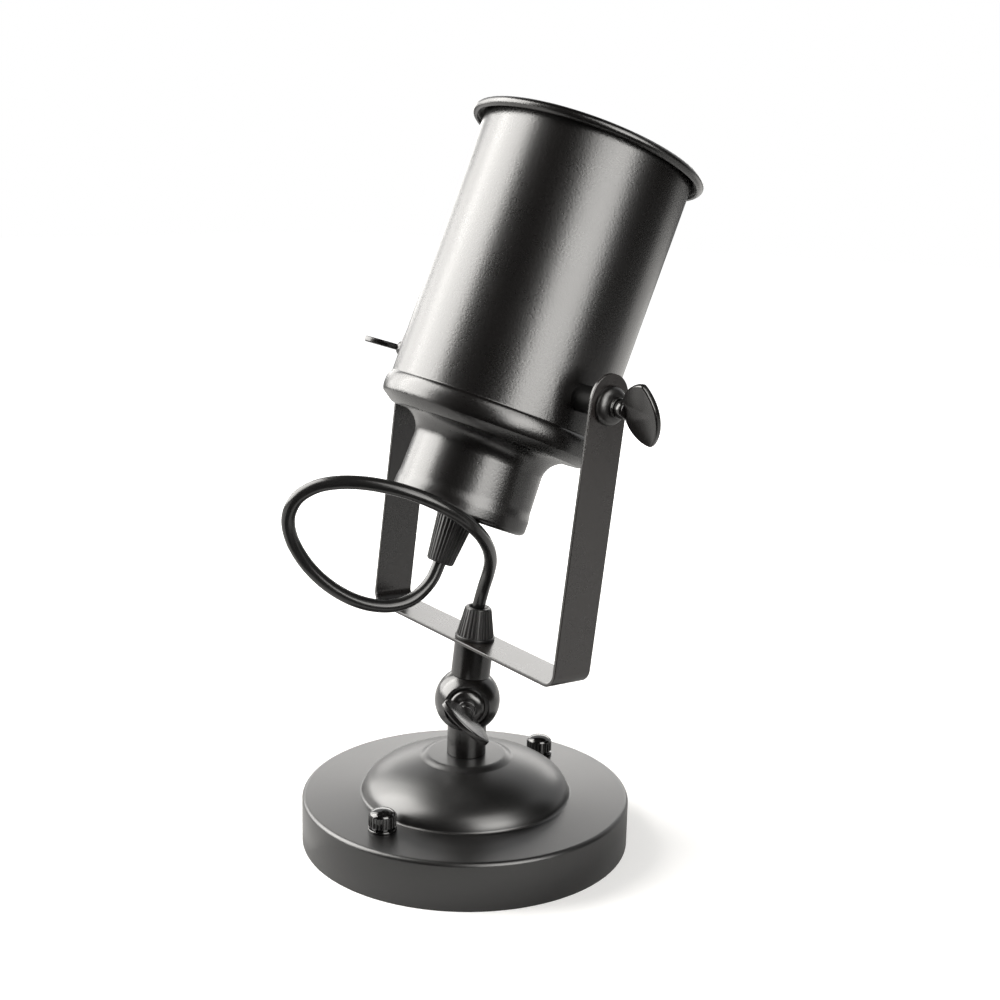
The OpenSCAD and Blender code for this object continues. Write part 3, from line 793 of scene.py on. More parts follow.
@dataclass
class Canopy:
    """The wall canopy with its cap nuts."""

    radius: float = 60.0
    rim_h: float = 17.5
    wall: float = 1.0
    edge_r: float = 1.5
    dome_r: float = 38.0
    dome_h: float = 15.0
    foot_fillet: float = 1.2
    disc_r: float = 15.5
    disc_h: float = 1.0
    shoulder: float = 3.6
    hole_r: float = 5.05
    stud_y: float = 45.2
    nut_r: float = 5.0
    nut_h: float = 7.7
    nut_ring_h: float = 1.0
    nut_step: float = 0.45
    nut_dome: float = 2.1
    nut_groove: float = 0.7
    flutes: int = 24

    def dome_z(self, r: float) -> float:
        """Height of the dome's outside at a radius."""
        return self.rim_h + self.dome_h * math.sqrt(1 - (r / self.dome_r) ** 2)

    @property
    def disc_z(self) -> float:
        """Height of the raised disc under the post."""
        return self.dome_z(self.disc_r) + self.disc_h

    def profile(self) -> Profile:
        """The canopy's pressed section, outside and in.

        Returns:
            Points of radius and height.
        """
        limit = math.degrees(math.acos(self.disc_r / self.dome_r))
        rim, flat, edge, foot = self.radius, self.rim_h, self.edge_r, self.foot_fillet
        inner, under, roof = rim - self.wall, flat - self.wall, self.disc_z - self.wall
        foot_r = self.disc_r + self.shoulder / 2
        dome = oval(0, flat, self.dome_r, self.dome_h, 0, limit, 64)
        step = []
        for i in range(17):
            t = i / 16
            r = foot_r - self.shoulder * t
            low = self.dome_z(r)
            step.append((r, low + (self.disc_z - low) * t * t * (3 - 2 * t)))
        return [
            (rim - 0.35, 0.0), (rim - 0.1, 0.1), (rim, 0.35),
            *arc(rim - edge, flat - edge, edge, 0, 90, 10),
            *arc(self.dome_r + foot, flat + foot, foot, 270, 180, 8),
            *[p for p in dome if p[0] > foot_r and p[1] > flat + 2 * foot],
            *step,
            (self.hole_r, self.disc_z), (self.hole_r, roof), (self.disc_r - self.shoulder / 2, roof),
            *oval(0, under, self.dome_r - self.wall, self.dome_h, limit, 0, 32),
            (inner, under), (inner, 0.0),
        ]

    def nut(self, side: int) -> Obj:
        """One fluted cap nut on its stud.

        Args:
            side: 1 for the stud at positive Y and -1 for the other.

        Returns:
            The nut's mesh.
        """
        place = POSE.base() @ Matrix.Translation((0, side * self.stud_y, self.rim_h))
        r, body, ring = self.nut_r, self.nut_r - self.nut_step, self.nut_ring_h
        top, groove = self.nut_h - self.nut_dome, body - self.nut_groove
        profile = [
            (0.0, 0.0), (r - 0.2, 0.0), *arc(r - 0.3, 0.3, 0.3, -60, 0, 3),
            *arc(r - 0.35, ring - 0.35, 0.35, 0, 90, 5),
            (groove, ring), (groove, ring + 0.5), (body, ring + 0.9), (body, top),
            *oval(0, top, body, self.nut_dome, 8, 90, 14)[:-1], (0.0, self.nut_h),
        ]
        core = Solid("cap_nut", place).lathe(profile, 96, closed=False).object(35)
        flutes = rib_ring().mesh("cap_nut_flutes", place, Finish.NUT, {
            "Count": self.flutes, "Low Radius": body, "High Radius": body, "Low Height": ring + 0.9,
            "High Height": top + 0.25, "Low Rib": 0.34, "High Rib": 0.3,
        })
        return join(core, smooth(flutes, 50))

    def build(self) -> None:
        """Makes the cover and its nuts."""
        cover = Solid("canopy_cover", POSE.base()).lathe(self.profile(), 192).object(40)
        dress(cover, Finish.CANOPY, Body.BASE, ["canopy"])
        dress(join(self.nut(-1), self.nut(1)), Finish.NUT, Body.BASE, ["cap_nuts"])


@dataclass
class ThumbScrew:
    """A thumb screw with a fan-shaped finger plate, and its domed washer."""

    turn: float = 0.0
    screw_r: float = 2.5
    shank: float = 14.0
    washer_r: float = 6.6
    washer_h: float = 3.0
    washer_lip: float = 0.6
    washer_t: float = 1.0
    collar_r: float = 3.4
    collar_h: float = 1.5
    neck: float = 3.5
    neck_bulge: float = 0.7
    plate_w: float = 21.4
    plate_len: float = 15.0
    plate_tip: float = 10.4
    plate_t: float = 2.2
    plate_edge: float = 0.55
    plate_sink: float = 1.1
    pitch: float = 0.8
    thread_r: float = 0.33

    def washer(self, name: str, seat: Matrix) -> Obj:
        """The domed cup washer.

        Args:
            name: The piece's name.
            seat: Frame of its seat, Z outwards.

        Returns:
            The washer's mesh.
        """
        lip, sheet, r, top = self.washer_lip, self.washer_t, self.washer_r, self.washer_h
        hole, flat, dome = self.screw_r + 0.05, top - sheet, r - self.collar_r
        profile = [
            (r - sheet, 0.0), (r - 0.15, 0.0), (r, 0.15),
            *oval(self.collar_r, lip, dome, top - lip, 0, 90, 16),
            (hole, top), (hole, flat), (self.collar_r, flat),
            *oval(self.collar_r, lip, dome - sheet, top - lip - sheet, 90, 0, 10),
        ]
        return Solid(name, seat).lathe(profile, 96).object(40)

    def outline(self) -> Profile:
        """The finger plate's outline, from its root upwards.

        Returns:
            Points across the plate and along it.
        """
        half, tip, length = self.plate_w / 2, self.plate_tip, self.plate_len
        sag = length - tip
        r = (half * half + sag * sag) / (2 * sag)
        span = math.degrees(math.asin(half / r))
        return [*oval(0, tip, half, tip, 180, 360, 48), *arc(0, length - r, r, 90 - span, 90 + span, 28)[1:-1]]

    def screw(self, name: str, seat: Matrix) -> Obj:
        """The whole screw: threaded shank, collar, bulged neck and plate.

        Args:
            name: The piece's name.
            seat: Frame of the washer's seat, Z outwards.

        Returns:
            The screw's mesh.
        """
        place = seat @ spin(self.turn, "Z")
        low, high = self.washer_h, self.washer_h + self.collar_h
        core, r, collar = self.screw_r - 0.25, self.screw_r, self.collar_r
        profile = [
            (0.0, -self.shank), (core - 0.5, -self.shank), (core, 0.5 - self.shank), (core, low - 0.6),
            (r, low - 0.5), (r, low), (collar - 0.3, low),
            *arc(collar - 0.3, low + 0.3, 0.3, -70, 0, 4), *arc(collar - 0.35, high - 0.35, 0.35, 0, 90, 5),
            *oval(collar - 1.0, high + self.neck / 2, self.neck_bulge, self.neck / 2, -90, 90, 16),
            (0.0, high + self.neck),
        ]
        stem = Solid(name, place).lathe(profile, 64, closed=False).object()
        plate = Solid("plate", place @ spin(90, "Z")).sheet(self.outline(), self.plate_t)
        plate.turned(lift(high + self.neck - self.plate_sink)).rounded(self.plate_edge, 4)
        body = cut(stem, plate.object(), Operation.UNION)
        length = self.shank + low - 1.4
        helix = thread().mesh("thread", place @ lift(0.5 - self.shank), Finish.LACQUER, {
            "Radius": core - 0.08, "Turns": length / self.pitch, "Height": length, "Section": self.thread_r, "Sides": 4,
        })
        return join(smooth(body, 38), smooth(helix, 50))


@dataclass
class SwivelHalf:
    """Half of the split ball with its tube along Z, the ball's face standing across X."""

    name: str
    place: Matrix
    length: float
    recess: bool
    tube_r: float = 7.1
    tube_bore: float = 5.05
    tube_depth: float = 7.0
    tube_edge: float = 0.25
    ball_r: float = 11.9
    ball_gap: float = 0.3
    face: float = 0.05
    recess_r: float = 7.9
    recess_x: float = 7.4
    hole_r: float = 2.55
    hole_reach: float = 20.0
    edge: float = 0.3

    def across(self, profile: Profile, steps: int = 128, closed: bool = True) -> Obj:
        """A solid of revolution about X, given as lathe() takes it."""
        return Solid("across", self.place @ spin(90, "Y")).lathe(profile, steps, closed).object()

    def ball(self) -> Obj:
        """Half a ball with its clamp hole and, on the post, the screw's recess.

        Returns:
            The half ball's mesh.
        """
        hole, edge = self.hole_r, self.edge
        rim_r = self.recess_r if self.recess else hole
        last = math.degrees(math.acos((rim_r + edge) / self.ball_r))
        outer = arc(0, self.face, self.ball_r, 0, last, 48)
        rim = arc(rim_r + edge, outer[-1][1] - edge, edge, 90, 180, 4)
        floor = [(self.recess_r, self.recess_x), (hole, self.recess_x)] if self.recess else []
        return self.across([*outer, *rim, *floor, (hole, self.face)])

    def tube(self) -> Obj:
        """The tube, hollowed at its end for the nipple and cut clear of the other half ball.

        Returns:
            The tube's mesh.
        """
        bore, edge, length, face = self.tube_bore, self.tube_edge, self.length, self.face
        floor, clear = length - self.tube_depth, self.ball_r + self.ball_gap
        profile = [
            (0.0, 0.0), (self.tube_r, 0.0), *arc(self.tube_r - edge, length - edge, edge, 0, 90, 4),
            (bore, length), (bore, floor), (0.0, floor),
        ]
        stem = Solid(self.name, self.place).lathe(profile, closed=False).object()
        room = [(0.0, face), *arc(0, face, clear, 0, -90, 32)[:-1], (0.0, face - clear)]
        return cut(stem, self.across(room, closed=False), Operation.DIFFERENCE)

    def build(self, body: Body, node: str) -> None:
        """Joins ball and tube, drills the clamp hole and dresses the half.

        Args:
            body: The body it rides on.
            node: The CAD node that it replaces.
        """
        made = cut(self.tube(), self.ball(), Operation.UNION)
        r, reach = self.hole_r, self.hole_reach
        hole = self.across([(0.0, -reach), (r, -reach), (r, reach), (0.0, reach)], 48, False)
        dress(smooth(cut(made, hole, Operation.DIFFERENCE), 30), Finish.TUBE, body, [node])


@dataclass
class Swivel:
    """The swivel: post and front half, back half and tube, washer and clamp screw."""

    seat_gap: float = 0.03
    screw_turn: float = -43.0

    def build(self, disc_z: float) -> None:
        """Makes both halves, the washer and the clamp screw.

        Args:
            disc_z: Height of the canopy's disc that the post stands on.
        """
        post = SwivelHalf("post_half_ball", POSE.ball() @ spin(180, "X"), POSE.ball_z - disc_z, True)
        post.build(Body.BASE, "post")
        back = POSE.head() @ spin(180, "Z")
        SwivelHalf("swivel_head_half_ball", back, POSE.bar_z - self.seat_gap, False).build(Body.HEAD, "swivel_head")
        seat = POSE.along_x(POSE.ball(), post.recess_x)
        dress(ThumbScrew().washer("swivel_cup_washer", seat), Finish.LACQUER, Body.BASE, ["swivel_washer"])
        screw = ThumbScrew(turn=self.screw_turn).screw("swivel_wing_screw", seat)
        dress(screw, Finish.LACQUER, Body.SWIVEL_SCREW, ["swivel_thumb_screw"])


@dataclass
class CordGrip:
    """A ribbed cord grip that screws on a nipple, its foot on the place and its mouth along Z."""

    name: str
    place: Matrix
    body: Body
    node: str
    height: float
    foot_r: float = 7.15
    mouth_r: float = 4.9
    ring_h: float = 1.3
    ribs: int = 28
    cord_r: float = 2.3
    bore_r: float = 5.05
    thread_h: float = 6.05

    def build(self) -> None:
        """Makes and dresses the grip."""
        h, ring, foot = self.height, self.ring_h, self.foot_r
        shoulder, hole, flare = foot - 0.75, self.cord_r + 0.05, self.cord_r + 1.1
        end_r = self.mouth_r - 0.3
        profile = [
            (foot - 0.25, 0.0), *arc(foot - 0.25, 0.25, 0.25, -60, 0, 3),
            *arc(foot - 0.4, ring - 0.4, 0.4, 0, 90, 5), (shoulder, ring),
            (end_r + 0.05, h - 0.5), *arc(end_r - 0.4, h - 0.4, 0.4, 10, 90, 4),
            *arc(flare + 0.3, h - 0.3, 0.3, 90, 160, 4), (hole, h - 2.0), (hole, self.thread_h),
            (self.bore_r, self.thread_h), (self.bore_r, 0.0),
        ]
        core = Solid(self.name, self.place).lathe(profile, 96).object(40)
        bars = rib_ring().mesh("grip_ribs", self.place, Finish.GRIP, {
            "Count": self.ribs, "Low Radius": shoulder - 0.02, "High Radius": end_r - 0.05, "Low Height": ring - 0.1,
            "High Height": h - 0.55, "Low Rib": 0.42, "High Rib": 0.3,
        })
        dress(join(core, smooth(bars, 60)), Finish.GRIP, self.body, [self.node])


@dataclass
class Yoke:
    """The U-shaped yoke, its washers and the lower grip."""

    width: float = 102.0
    strip_w: float = 16.6
    strip_t: float = 1.2
    bend_r: float = 5.0
    arm_end: float = 2.1
    edge: float = 0.22
    grip_h: float = 11.7
    cap_steps: int = 40
    bend_steps: int = 12

    def path(self) -> list[tuple[Vector, Vector]]:
        """Points of the strip's outer face in X and Z from the left pivot down and over to the right one.

        Returns:
            Pairs of a point and the inward normal there.
        """
        half, r, top = self.width / 2, self.bend_r, POSE.pivot_h + self.arm_end
        inward = Vector((1, 0, 0))
        side = [(Vector((-half, 0, top)), inward), (Vector((-half, 0, r)), inward)]
        for x, z in arc(0, 0, 1, 180, 270, self.bend_steps)[1:]:
            side.append((Vector((-half + r + r * x, 0, r + r * z)), Vector((-x, 0, -z))))
        mirror = Vector((-1, 1, 1))
        return side + [(p * mirror, n * mirror) for p, n in reversed(side)]

    def section(self, half: float) -> Profile:
        """The strip's section with eased edges, in depth and width.

        Args:
            half: Half its width there.

        Returns:
            The section's points in order.
        """
        e, t = min(self.edge, half / 2), self.strip_t
        side = [(0.0, half - e), (e * 0.3, half - e * 0.3), (e, half)]
        side += [(t - d, y) for d, y in reversed(side)]
        return side + [(d, -y) for d, y in reversed(side)]

    def strip(self) -> Obj:
        """The bent strip with round arm ends and eased edges.

        Returns:
            The strip's mesh.
        """
        solid = Solid("yoke_strip", POSE.yoke() @ lift(POSE.bar_z))
        r, path = self.strip_w / 2, self.path()
        turns = [math.pi / 2 * (1 - i / self.cap_steps) for i in range(self.cap_steps)]
        caps = [
            [(p + Vector((0, 0, r * math.sin(a))), n, max(r * math.cos(a), 0.02)) for a in turns]
            for p, n in (path[0], path[-1])
        ]
        rows = [*caps[0], *((p, n, r) for p, n in path), *reversed(caps[1])]
        rings = [
            [solid.bm.verts.new(p + n * d + Vector((0, y, 0))) for d, y in self.section(half)] for p, n, half in rows
        ]
        solid.skin(rings, False)
        solid.bm.faces.new(rings[0])
        solid.bm.faces.new(rings[-1][::-1])
        return solid.object(18)

    def build(self) -> None:
        """Makes the strip, the arm washers and the lower grip."""
        dress(self.strip(), Finish.YOKE, Body.YOKE, ["yoke"])
        seats = [POSE.along_x(POSE.pivot(), self.width / 2, side) for side in (-1, 1)]
        washers = [ThumbScrew().washer("arm_cup_washers", seat) for seat in seats]
        dress(join(*washers), Finish.WASHER, Body.YOKE, ["pivot_washers"])
        place = POSE.yoke() @ lift(POSE.bar_z + self.strip_t)
        CordGrip("lower_grip", place, Body.YOKE, "lower_cord_grip", self.grip_h).build()


@dataclass
class Shade:
    """The spun shade with its pivot bosses, the socket's shell and the upper grip."""

    radius: float = 38.0
    wall: float = 1.0
    rim_up: float = 83.2
    rim_w: float = 5.18
    rim_t: float = 3.78
    rim_lip: float = -62.0
    rim_even: float = 30.0
    bead_down: float = 19.0
    bead_h: float = 7.5
    bead_out: float = 1.25
    bead_top: float = 74.0
    shoulder_w: float = 3.4
    shoulder_drop: float = 2.3
    shoulder_edge: float = 0.6
    neck_bend_r: float = 7.75
    neck_r: float = 23.5
    cup_flare: float = 0.9
    foot_band: float = 5.3
    cup_down: float = 50.3
    cup_edge_r: float = 2.0
    hole_r: float = 5.05
    boss_r: float = 4.6
    boss_hole_r: float = 2.55
    boss_edge: float = 0.5
    boss_face: float = 49.75
    boss_steps: int = 96
    shell_r: float = 13.3
    shell_wall: float = 1.0
    shell_low: float = -34.3
    shell_high: float = -8.5
    shell_pitch: float = 3.6
    shell_end: float = 1.2
    grip_h: float = 18.1

    def bead(self) -> Profile:
        """The outside from the neck's top over the slanted shoulder and the bead to the plain wall.

        Returns:
            Points of radius and height.
        """
        out, half, soft = self.bead_out, self.bead_h / 2, self.shoulder_edge
        low_x, low_z = self.radius - self.shoulder_w, -self.bead_down - self.shoulder_drop
        ball = oval(self.radius, half - self.bead_down, out, half, -60, self.bead_top, 30)
        slope = math.atan2(ball[0][1] - low_z, ball[0][0] - low_x)
        top = math.radians(self.bead_top)
        turn = math.pi / 2 - math.atan2(half * math.cos(top), out * math.sin(top))
        hollow = out * math.cos(top) / (1 - math.cos(turn))
        edge = arc(low_x - soft * math.tan(slope / 2), low_z + soft, soft, -90, math.degrees(slope) - 90, 6)
        rise = ball[-1][1] + hollow * math.sin(turn)
        return [*edge, *ball, *arc(self.radius + hollow, rise, hollow, 180 + math.degrees(turn), 180, 8)[1:]]

    def profile(self) -> Profile:
        """The spun section from the cup's hole out, up to the rolled rim and back down inside.

        Returns:
            Points of radius and height.
        """
        bend, wall, inner = self.neck_bend_r, self.wall, self.radius - self.wall
        shoulder = -self.bead_down - self.shoulder_drop
        neck_c, neck_z = self.neck_r + bend, shoulder - bend
        foot, floor, edge = self.neck_r + self.cup_flare, -self.cup_down, self.cup_edge_r
        band, above = floor + self.foot_band, self.neck_r + 0.4 * self.cup_flare
        waves = [(1 + math.cos(math.pi * i / 10)) / 2 for i in range(11)]
        taper = [(above + (foot - above) * w, band - 0.6 + 4.6 * i / 10) for i, w in enumerate(waves)]
        wide, tall, top = self.rim_w / 2, self.rim_t / 2, self.rim_up
        inside = oval(inner + wide, top, wide - wall, tall - wall, 180, self.rim_lip, 40)
        outside = oval(inner + wide, top, wide, tall, self.rim_lip, 180, 56)
        tip = tuple((a + b) / 2 - 0.25 for a, b in zip(inside[-1], outside[0]))
        return [
            (self.hole_r, floor), *arc(foot - edge, floor + edge, edge, -90, 0, 14), *taper,
            *arc(neck_c, neck_z, bend, 180, 90, 36), *self.bead(),
            (self.radius, top - self.rim_even), (self.radius, top - 3.0), *inside, tip, *outside,
            (inner, top - self.rim_even), (inner, self.bead_h - self.bead_down), (inner, 0.6 * wall - self.bead_down),
            (self.radius - self.shoulder_w - 0.6 * wall, shoulder + wall),
            *arc(neck_c, neck_z, bend + wall, 90, 180, 24), (above - wall, band + 4.0), (foot - wall, band),
            (foot - wall, floor + edge), (foot - edge, floor + wall), (self.hole_r, floor + wall),
        ]

    def boss(self, side: int) -> Obj:
        """One threaded boss, saddled on the shade's wall, with its rivet lip inside.

        Args:
            side: 1 for the boss at positive X and -1 for the other.

        Returns:
            The boss's mesh.
        """
        solid = Solid("pivot_boss", POSE.shade() @ spin(0 if side > 0 else 180, "Z"))
        hole, edge, r, face = self.boss_hole_r, self.boss_edge, self.boss_r, self.boss_face
        section = [
            (hole, None), (r, None), (r, face - edge), (r - edge * 0.3, face - edge * 0.3), (r - edge, face),
            (hole, face),
        ]
        rings = [
            [solid.bm.verts.new((math.sqrt(self.radius ** 2 - y * y) if x is None else x, y, z))
             for y, z in circle(wide, self.boss_steps)] for wide, x in section
        ]
        solid.skin(rings, True)
        lip = Solid("lip", POSE.along_x(POSE.shade(), self.radius - self.wall - 0.7 - 1.0, side))
        lip.lathe([(hole, 0.0), *oval(3.2, 0.6, 1.2, 0.6, -90, 0, 6), (4.4, 1.0), (hole, 1.0)], 64)
        return join(solid.object(30), lip.object(40))

    def shell(self) -> Obj:
        """The socket's screw shell with its thread.

        Returns:
            The shell's mesh.
        """
        r, wide, low, high = self.shell_r, self.shell_r + self.shell_wall, self.shell_low, self.shell_high
        tube = Solid("socket_shell", POSE.shade()).lathe([(r, low), (wide, low), (wide, high), (r, high)])
        height = high - low - 2 * self.shell_end
        helix = thread().mesh("socket_thread", POSE.shade() @ lift(low + self.shell_end), Finish.BRASS, {
            "Radius": r + 0.15, "Turns": height / self.shell_pitch, "Height": height, "Section": 0.95, "Sides": 12,
        })
        return join(tube.object(40), smooth(helix, 60))

    def build(self) -> None:
        """Makes the shade, its bosses, the socket's shell and the upper grip."""
        can = Solid("spun_shade", POSE.shade()).lathe(self.profile(), 224).object(30)
        dress(can, Finish.SHADE, Body.SHADE, ["shade"])
        dress(join(self.boss(-1), self.boss(1)), Finish.BOSS, Body.SHADE, ["pivot_bosses"])
        dress(self.shell(), Finish.BRASS, Body.SHADE, ["screw_shell"])
        down = POSE.shade() @ lift(-self.cup_down) @ spin(180, "X")
        CordGrip("upper_grip", down, Body.SHADE, "upper_cord_grip", self.grip_h).build()


@dataclass
class CordLoop:
    """The cord between the two grips, on the route that the solids have."""

    radius: float = 2.3
    sides: int = 24
    steps: int = 8
    tuck: float = 9.0
    upper_mouth: float = -68.4
    lower_mouth: float = 35.4
    route: list[Triple] = field(default_factory=lambda: [
        (-0.2, -23.7, 46.8), (-1.2, -29.6, 41.1), (-2.9, -36.7, 38.8), (-5.1, -44.3, 39.2), (-7.5, -51.5, 41.5),
        (-10.0, -58.3, 45.4), (-12.2, -64.2, 50.4), (-13.7, -69.1, 56.1), (-14.2, -73.4, 63.0), (-12.9, -76.0, 70.4),
        (-9.3, -75.7, 77.5), (-4.0, -72.5, 82.5), (1.6, -67.7, 85.0), (6.9, -61.7, 85.8), (11.7, -55.5, 85.3),
        (16.0, -49.1, 83.9), (19.5, -42.4, 81.5), (21.8, -35.3, 78.1), (22.1, -28.4, 74.0), (20.7, -22.0, 69.7),
        (17.9, -16.1, 65.2), (14.3, -10.7, 60.4), (10.2, -6.1, 55.3), (5.8, -2.6, 49.6), (2.1, -0.6, 43.0),
    ])

    def on_shade_axis(self, z: float) -> Vector:
        """A point of the shade's axis in the yoke's frame."""
        tilt = math.radians(POSE.shade_tilt)
        return Vector((0, z * math.sin(tilt), POSE.bar_z + POSE.pivot_h + z * math.cos(tilt)))

    def centreline(self) -> list[Vector]:
        """The cord's middle, from the upper grip to the lower one.

        Returns:
            Points of one smooth curve in the part's frame, in metres.
        """
        start = [self.on_shade_axis(self.upper_mouth + d) for d in (self.tuck, 0.0)]
        end = [Vector((0, 0, self.lower_mouth - d)) for d in (0.0, self.tuck / 2)]
        p = [*start, *map(Vector, self.route), *end]
        last = len(p) - 1
        out = []
        for i in range(last):
            a, b, c, d = p[max(i - 1, 0)], p[i], p[i + 1], p[min(i + 2, last)]
            for k in range(self.steps):
                t = k / self.steps
                bent = (2 * a - 5 * b + 4 * c - d) * t * t + (3 * b - a - 3 * c + d) * t ** 3
                out.append(0.5 * (2 * b + (c - a) * t + bent))
        place = POSE.yoke()
        return [place @ q for q in [*out, p[last]]]

    def laid(self, line: list[Vector]) -> list[Vector]:
        """Where the tube's points lie once it is on its route.

        Args:
            line: The cord's middle.

        Returns:
            The points, ring by ring.
        """
        last, r, side = len(line) - 1, self.radius * MM, Vector((1, 0, 0))
        spots = []
        for i, p in enumerate(line):
            way = (line[min(i + 1, last)] - line[max(i - 1, 0)]).normalized()
            side = (side - way * side.dot(way)).normalized()
            other = way.cross(side)
            spots += [p + r * (c * side + s * other) for c, s in circle(1.0, self.sides)]
        return spots

    def tube(self, lengths: list[float]) -> bpy.types.Mesh:
        """The cord as a straight tube along X, with a UV map of its length and round.

        Args:
            lengths: Distance of each ring from the upper end, in metres.

        Returns:
            The tube's mesh.
        """
        bm, r, n = bmesh.new(), self.radius * MM, self.sides
        uv = bm.loops.layers.uv.new("length")
        rings = [[bm.verts.new((x, r * c, r * s)) for c, s in circle(1.0, n)] for x in lengths]
        for i, (a, b) in enumerate(zip(rings, rings[1:])):
            for k in range(n):
                j = (k + 1) % n
                made = bm.faces.new((a[k], a[j], b[j], b[k]))
                spots = ((i, k), (i, k + 1), (i + 1, k + 1), (i + 1, k))
                for loop, (along, round_) in zip(made.loops, spots):
                    loop[uv].uv = (lengths[along], round_ / n)
        bm.faces.new(rings[0][::-1])
        bm.faces.new(rings[-1])
        bmesh.ops.recalc_face_normals(bm, faces=bm.faces)
        mesh = bpy.data.meshes.new("cord_sheath_loop")
        bm.to_mesh(mesh)
        bm.free()
        return mesh

    def build(self) -> None:
        """Makes the tube straight along X, then lays its points on the route.
        """
        line, tuck = self.centreline(), self.tuck * MM
        lengths = [0.0]
        for a, b in zip(line, line[1:]):
            lengths.append(lengths[-1] + (b - a).length)
        mesh = self.tube(lengths)
        cord = add("cord_sheath_loop", mesh)
        ends = (lengths[-1] - tuck / 2, 0.0, 0.0), (tuck, 0.0, 0.0)
        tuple(ends[0])
        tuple(ends[1])
        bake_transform(cord)
        for vertex, spot in zip(mesh.vertices, self.laid(line)):
            vertex.co = spot
        mesh.update()
        smooth(cord, 60)
        mesh.materials.append(Finish.SHEATH.material())
        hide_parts("cord_loop")
        tuple(line[0])
        [tuple(p) for p in line]
        LOG.info("cord of %.1f mm between the grips", lengths[-1] / MM)


@dataclass
class HiddenParts:
    """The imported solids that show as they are, with their finishes."""

    by_finish: dict[Finish, list[str]] = field(default_factory=lambda: {
        Finish.STEEL: [
            "mounting_bracket", "bracket_studs", "block_screw", "earth_washer", "base_nipple", "base_washer",
            "base_nut", "yoke_nipple", "holder_nipple",
        ],
        Finish.BRASS: ["terminal_screws", "earth_screw", "centre_contact"],
        Finish.BLOCK: ["terminal_block"],
        Finish.HOLDER: ["lampholder"],
    })

    def build(self) -> None:
        """Gives each node its finish."""
        for finish, names in self.by_finish.items():
            for name in names:
                data = frame["nodes"][name].data
                data.materials.clear()
                data.materials.append(finish.material())
                LOG.info("%s keeps its solid", name)


@dataclass
class Softbox:
    """A rectangular area lamp that faces the lamp on the table."""

    name: str
    place: Triple
    target: Triple
    size: tuple[float, float]
    power: float

    def build(self) -> None:
        """Makes the lamp and turns it to its target."""
        data = bpy.data.lights.new(self.name, "AREA")
        data.shape = "RECTANGLE"
        data.size, data.size_y = self.size
        data.energy = self.power
        data.color = WARM
        lamp = add(self.name, data)
        lamp.location = self.place
        lamp.visible_camera = False
        way = Vector(self.target) - Vector(self.place)
        lamp.rotation_mode = "QUATERNION"
        lamp.rotation_quaternion = way.to_track_quat("-Z", "Y")


def staged(name: str, verts: list[Triple], faces: list[tuple[int, ...]], shader: Shader) -> Obj:
    """A piece of the stage.

    Args:
        name: Its name.
        verts: Its points.
        faces: Its faces by point number.
        shader: Its material.

    Returns:
        The piece.
    """
    mesh = bpy.data.meshes.new(name)
    mesh.from_pydata(verts, [], faces)
    mesh.materials.append(shader.material)
    made = add(name, mesh)
    return made


@dataclass
class Card:
    """A black or glowing card that only reflections see: part of a ring about the lamp's axis.

    It runs between two compass angles, in degrees from X towards Y, and between two edges, each of a radius and
    a height in metres.
    """

    name: str
    start: float
    end: float
    first: tuple[float, float]
    last: tuple[float, float]
    glow: float = 0.0
    steps: int = 24

    def build(self) -> None:
        """Makes the card."""
        sh = Shader(self.name)
        sh.set(Base_Color=(0.004, 0.004, 0.004, 1.0), Roughness=0.95, Specular_IOR_Level=0.0)
        sh.set(Emission_Color=(*WARM, 1.0), Emission_Strength=self.glow)
        ways = arc(0, 0, 1, self.start, self.end, self.steps)
        verts = [(r * x, r * y, z) for x, y in ways for r, z in (self.first, self.last)]
        faces = [(2 * i, 2 * i + 2, 2 * i + 3, 2 * i + 1) for i in range(self.steps)]
        made = staged(self.name, verts, faces, sh)
        made.visible_camera = made.visible_shadow = made.visible_diffuse = False


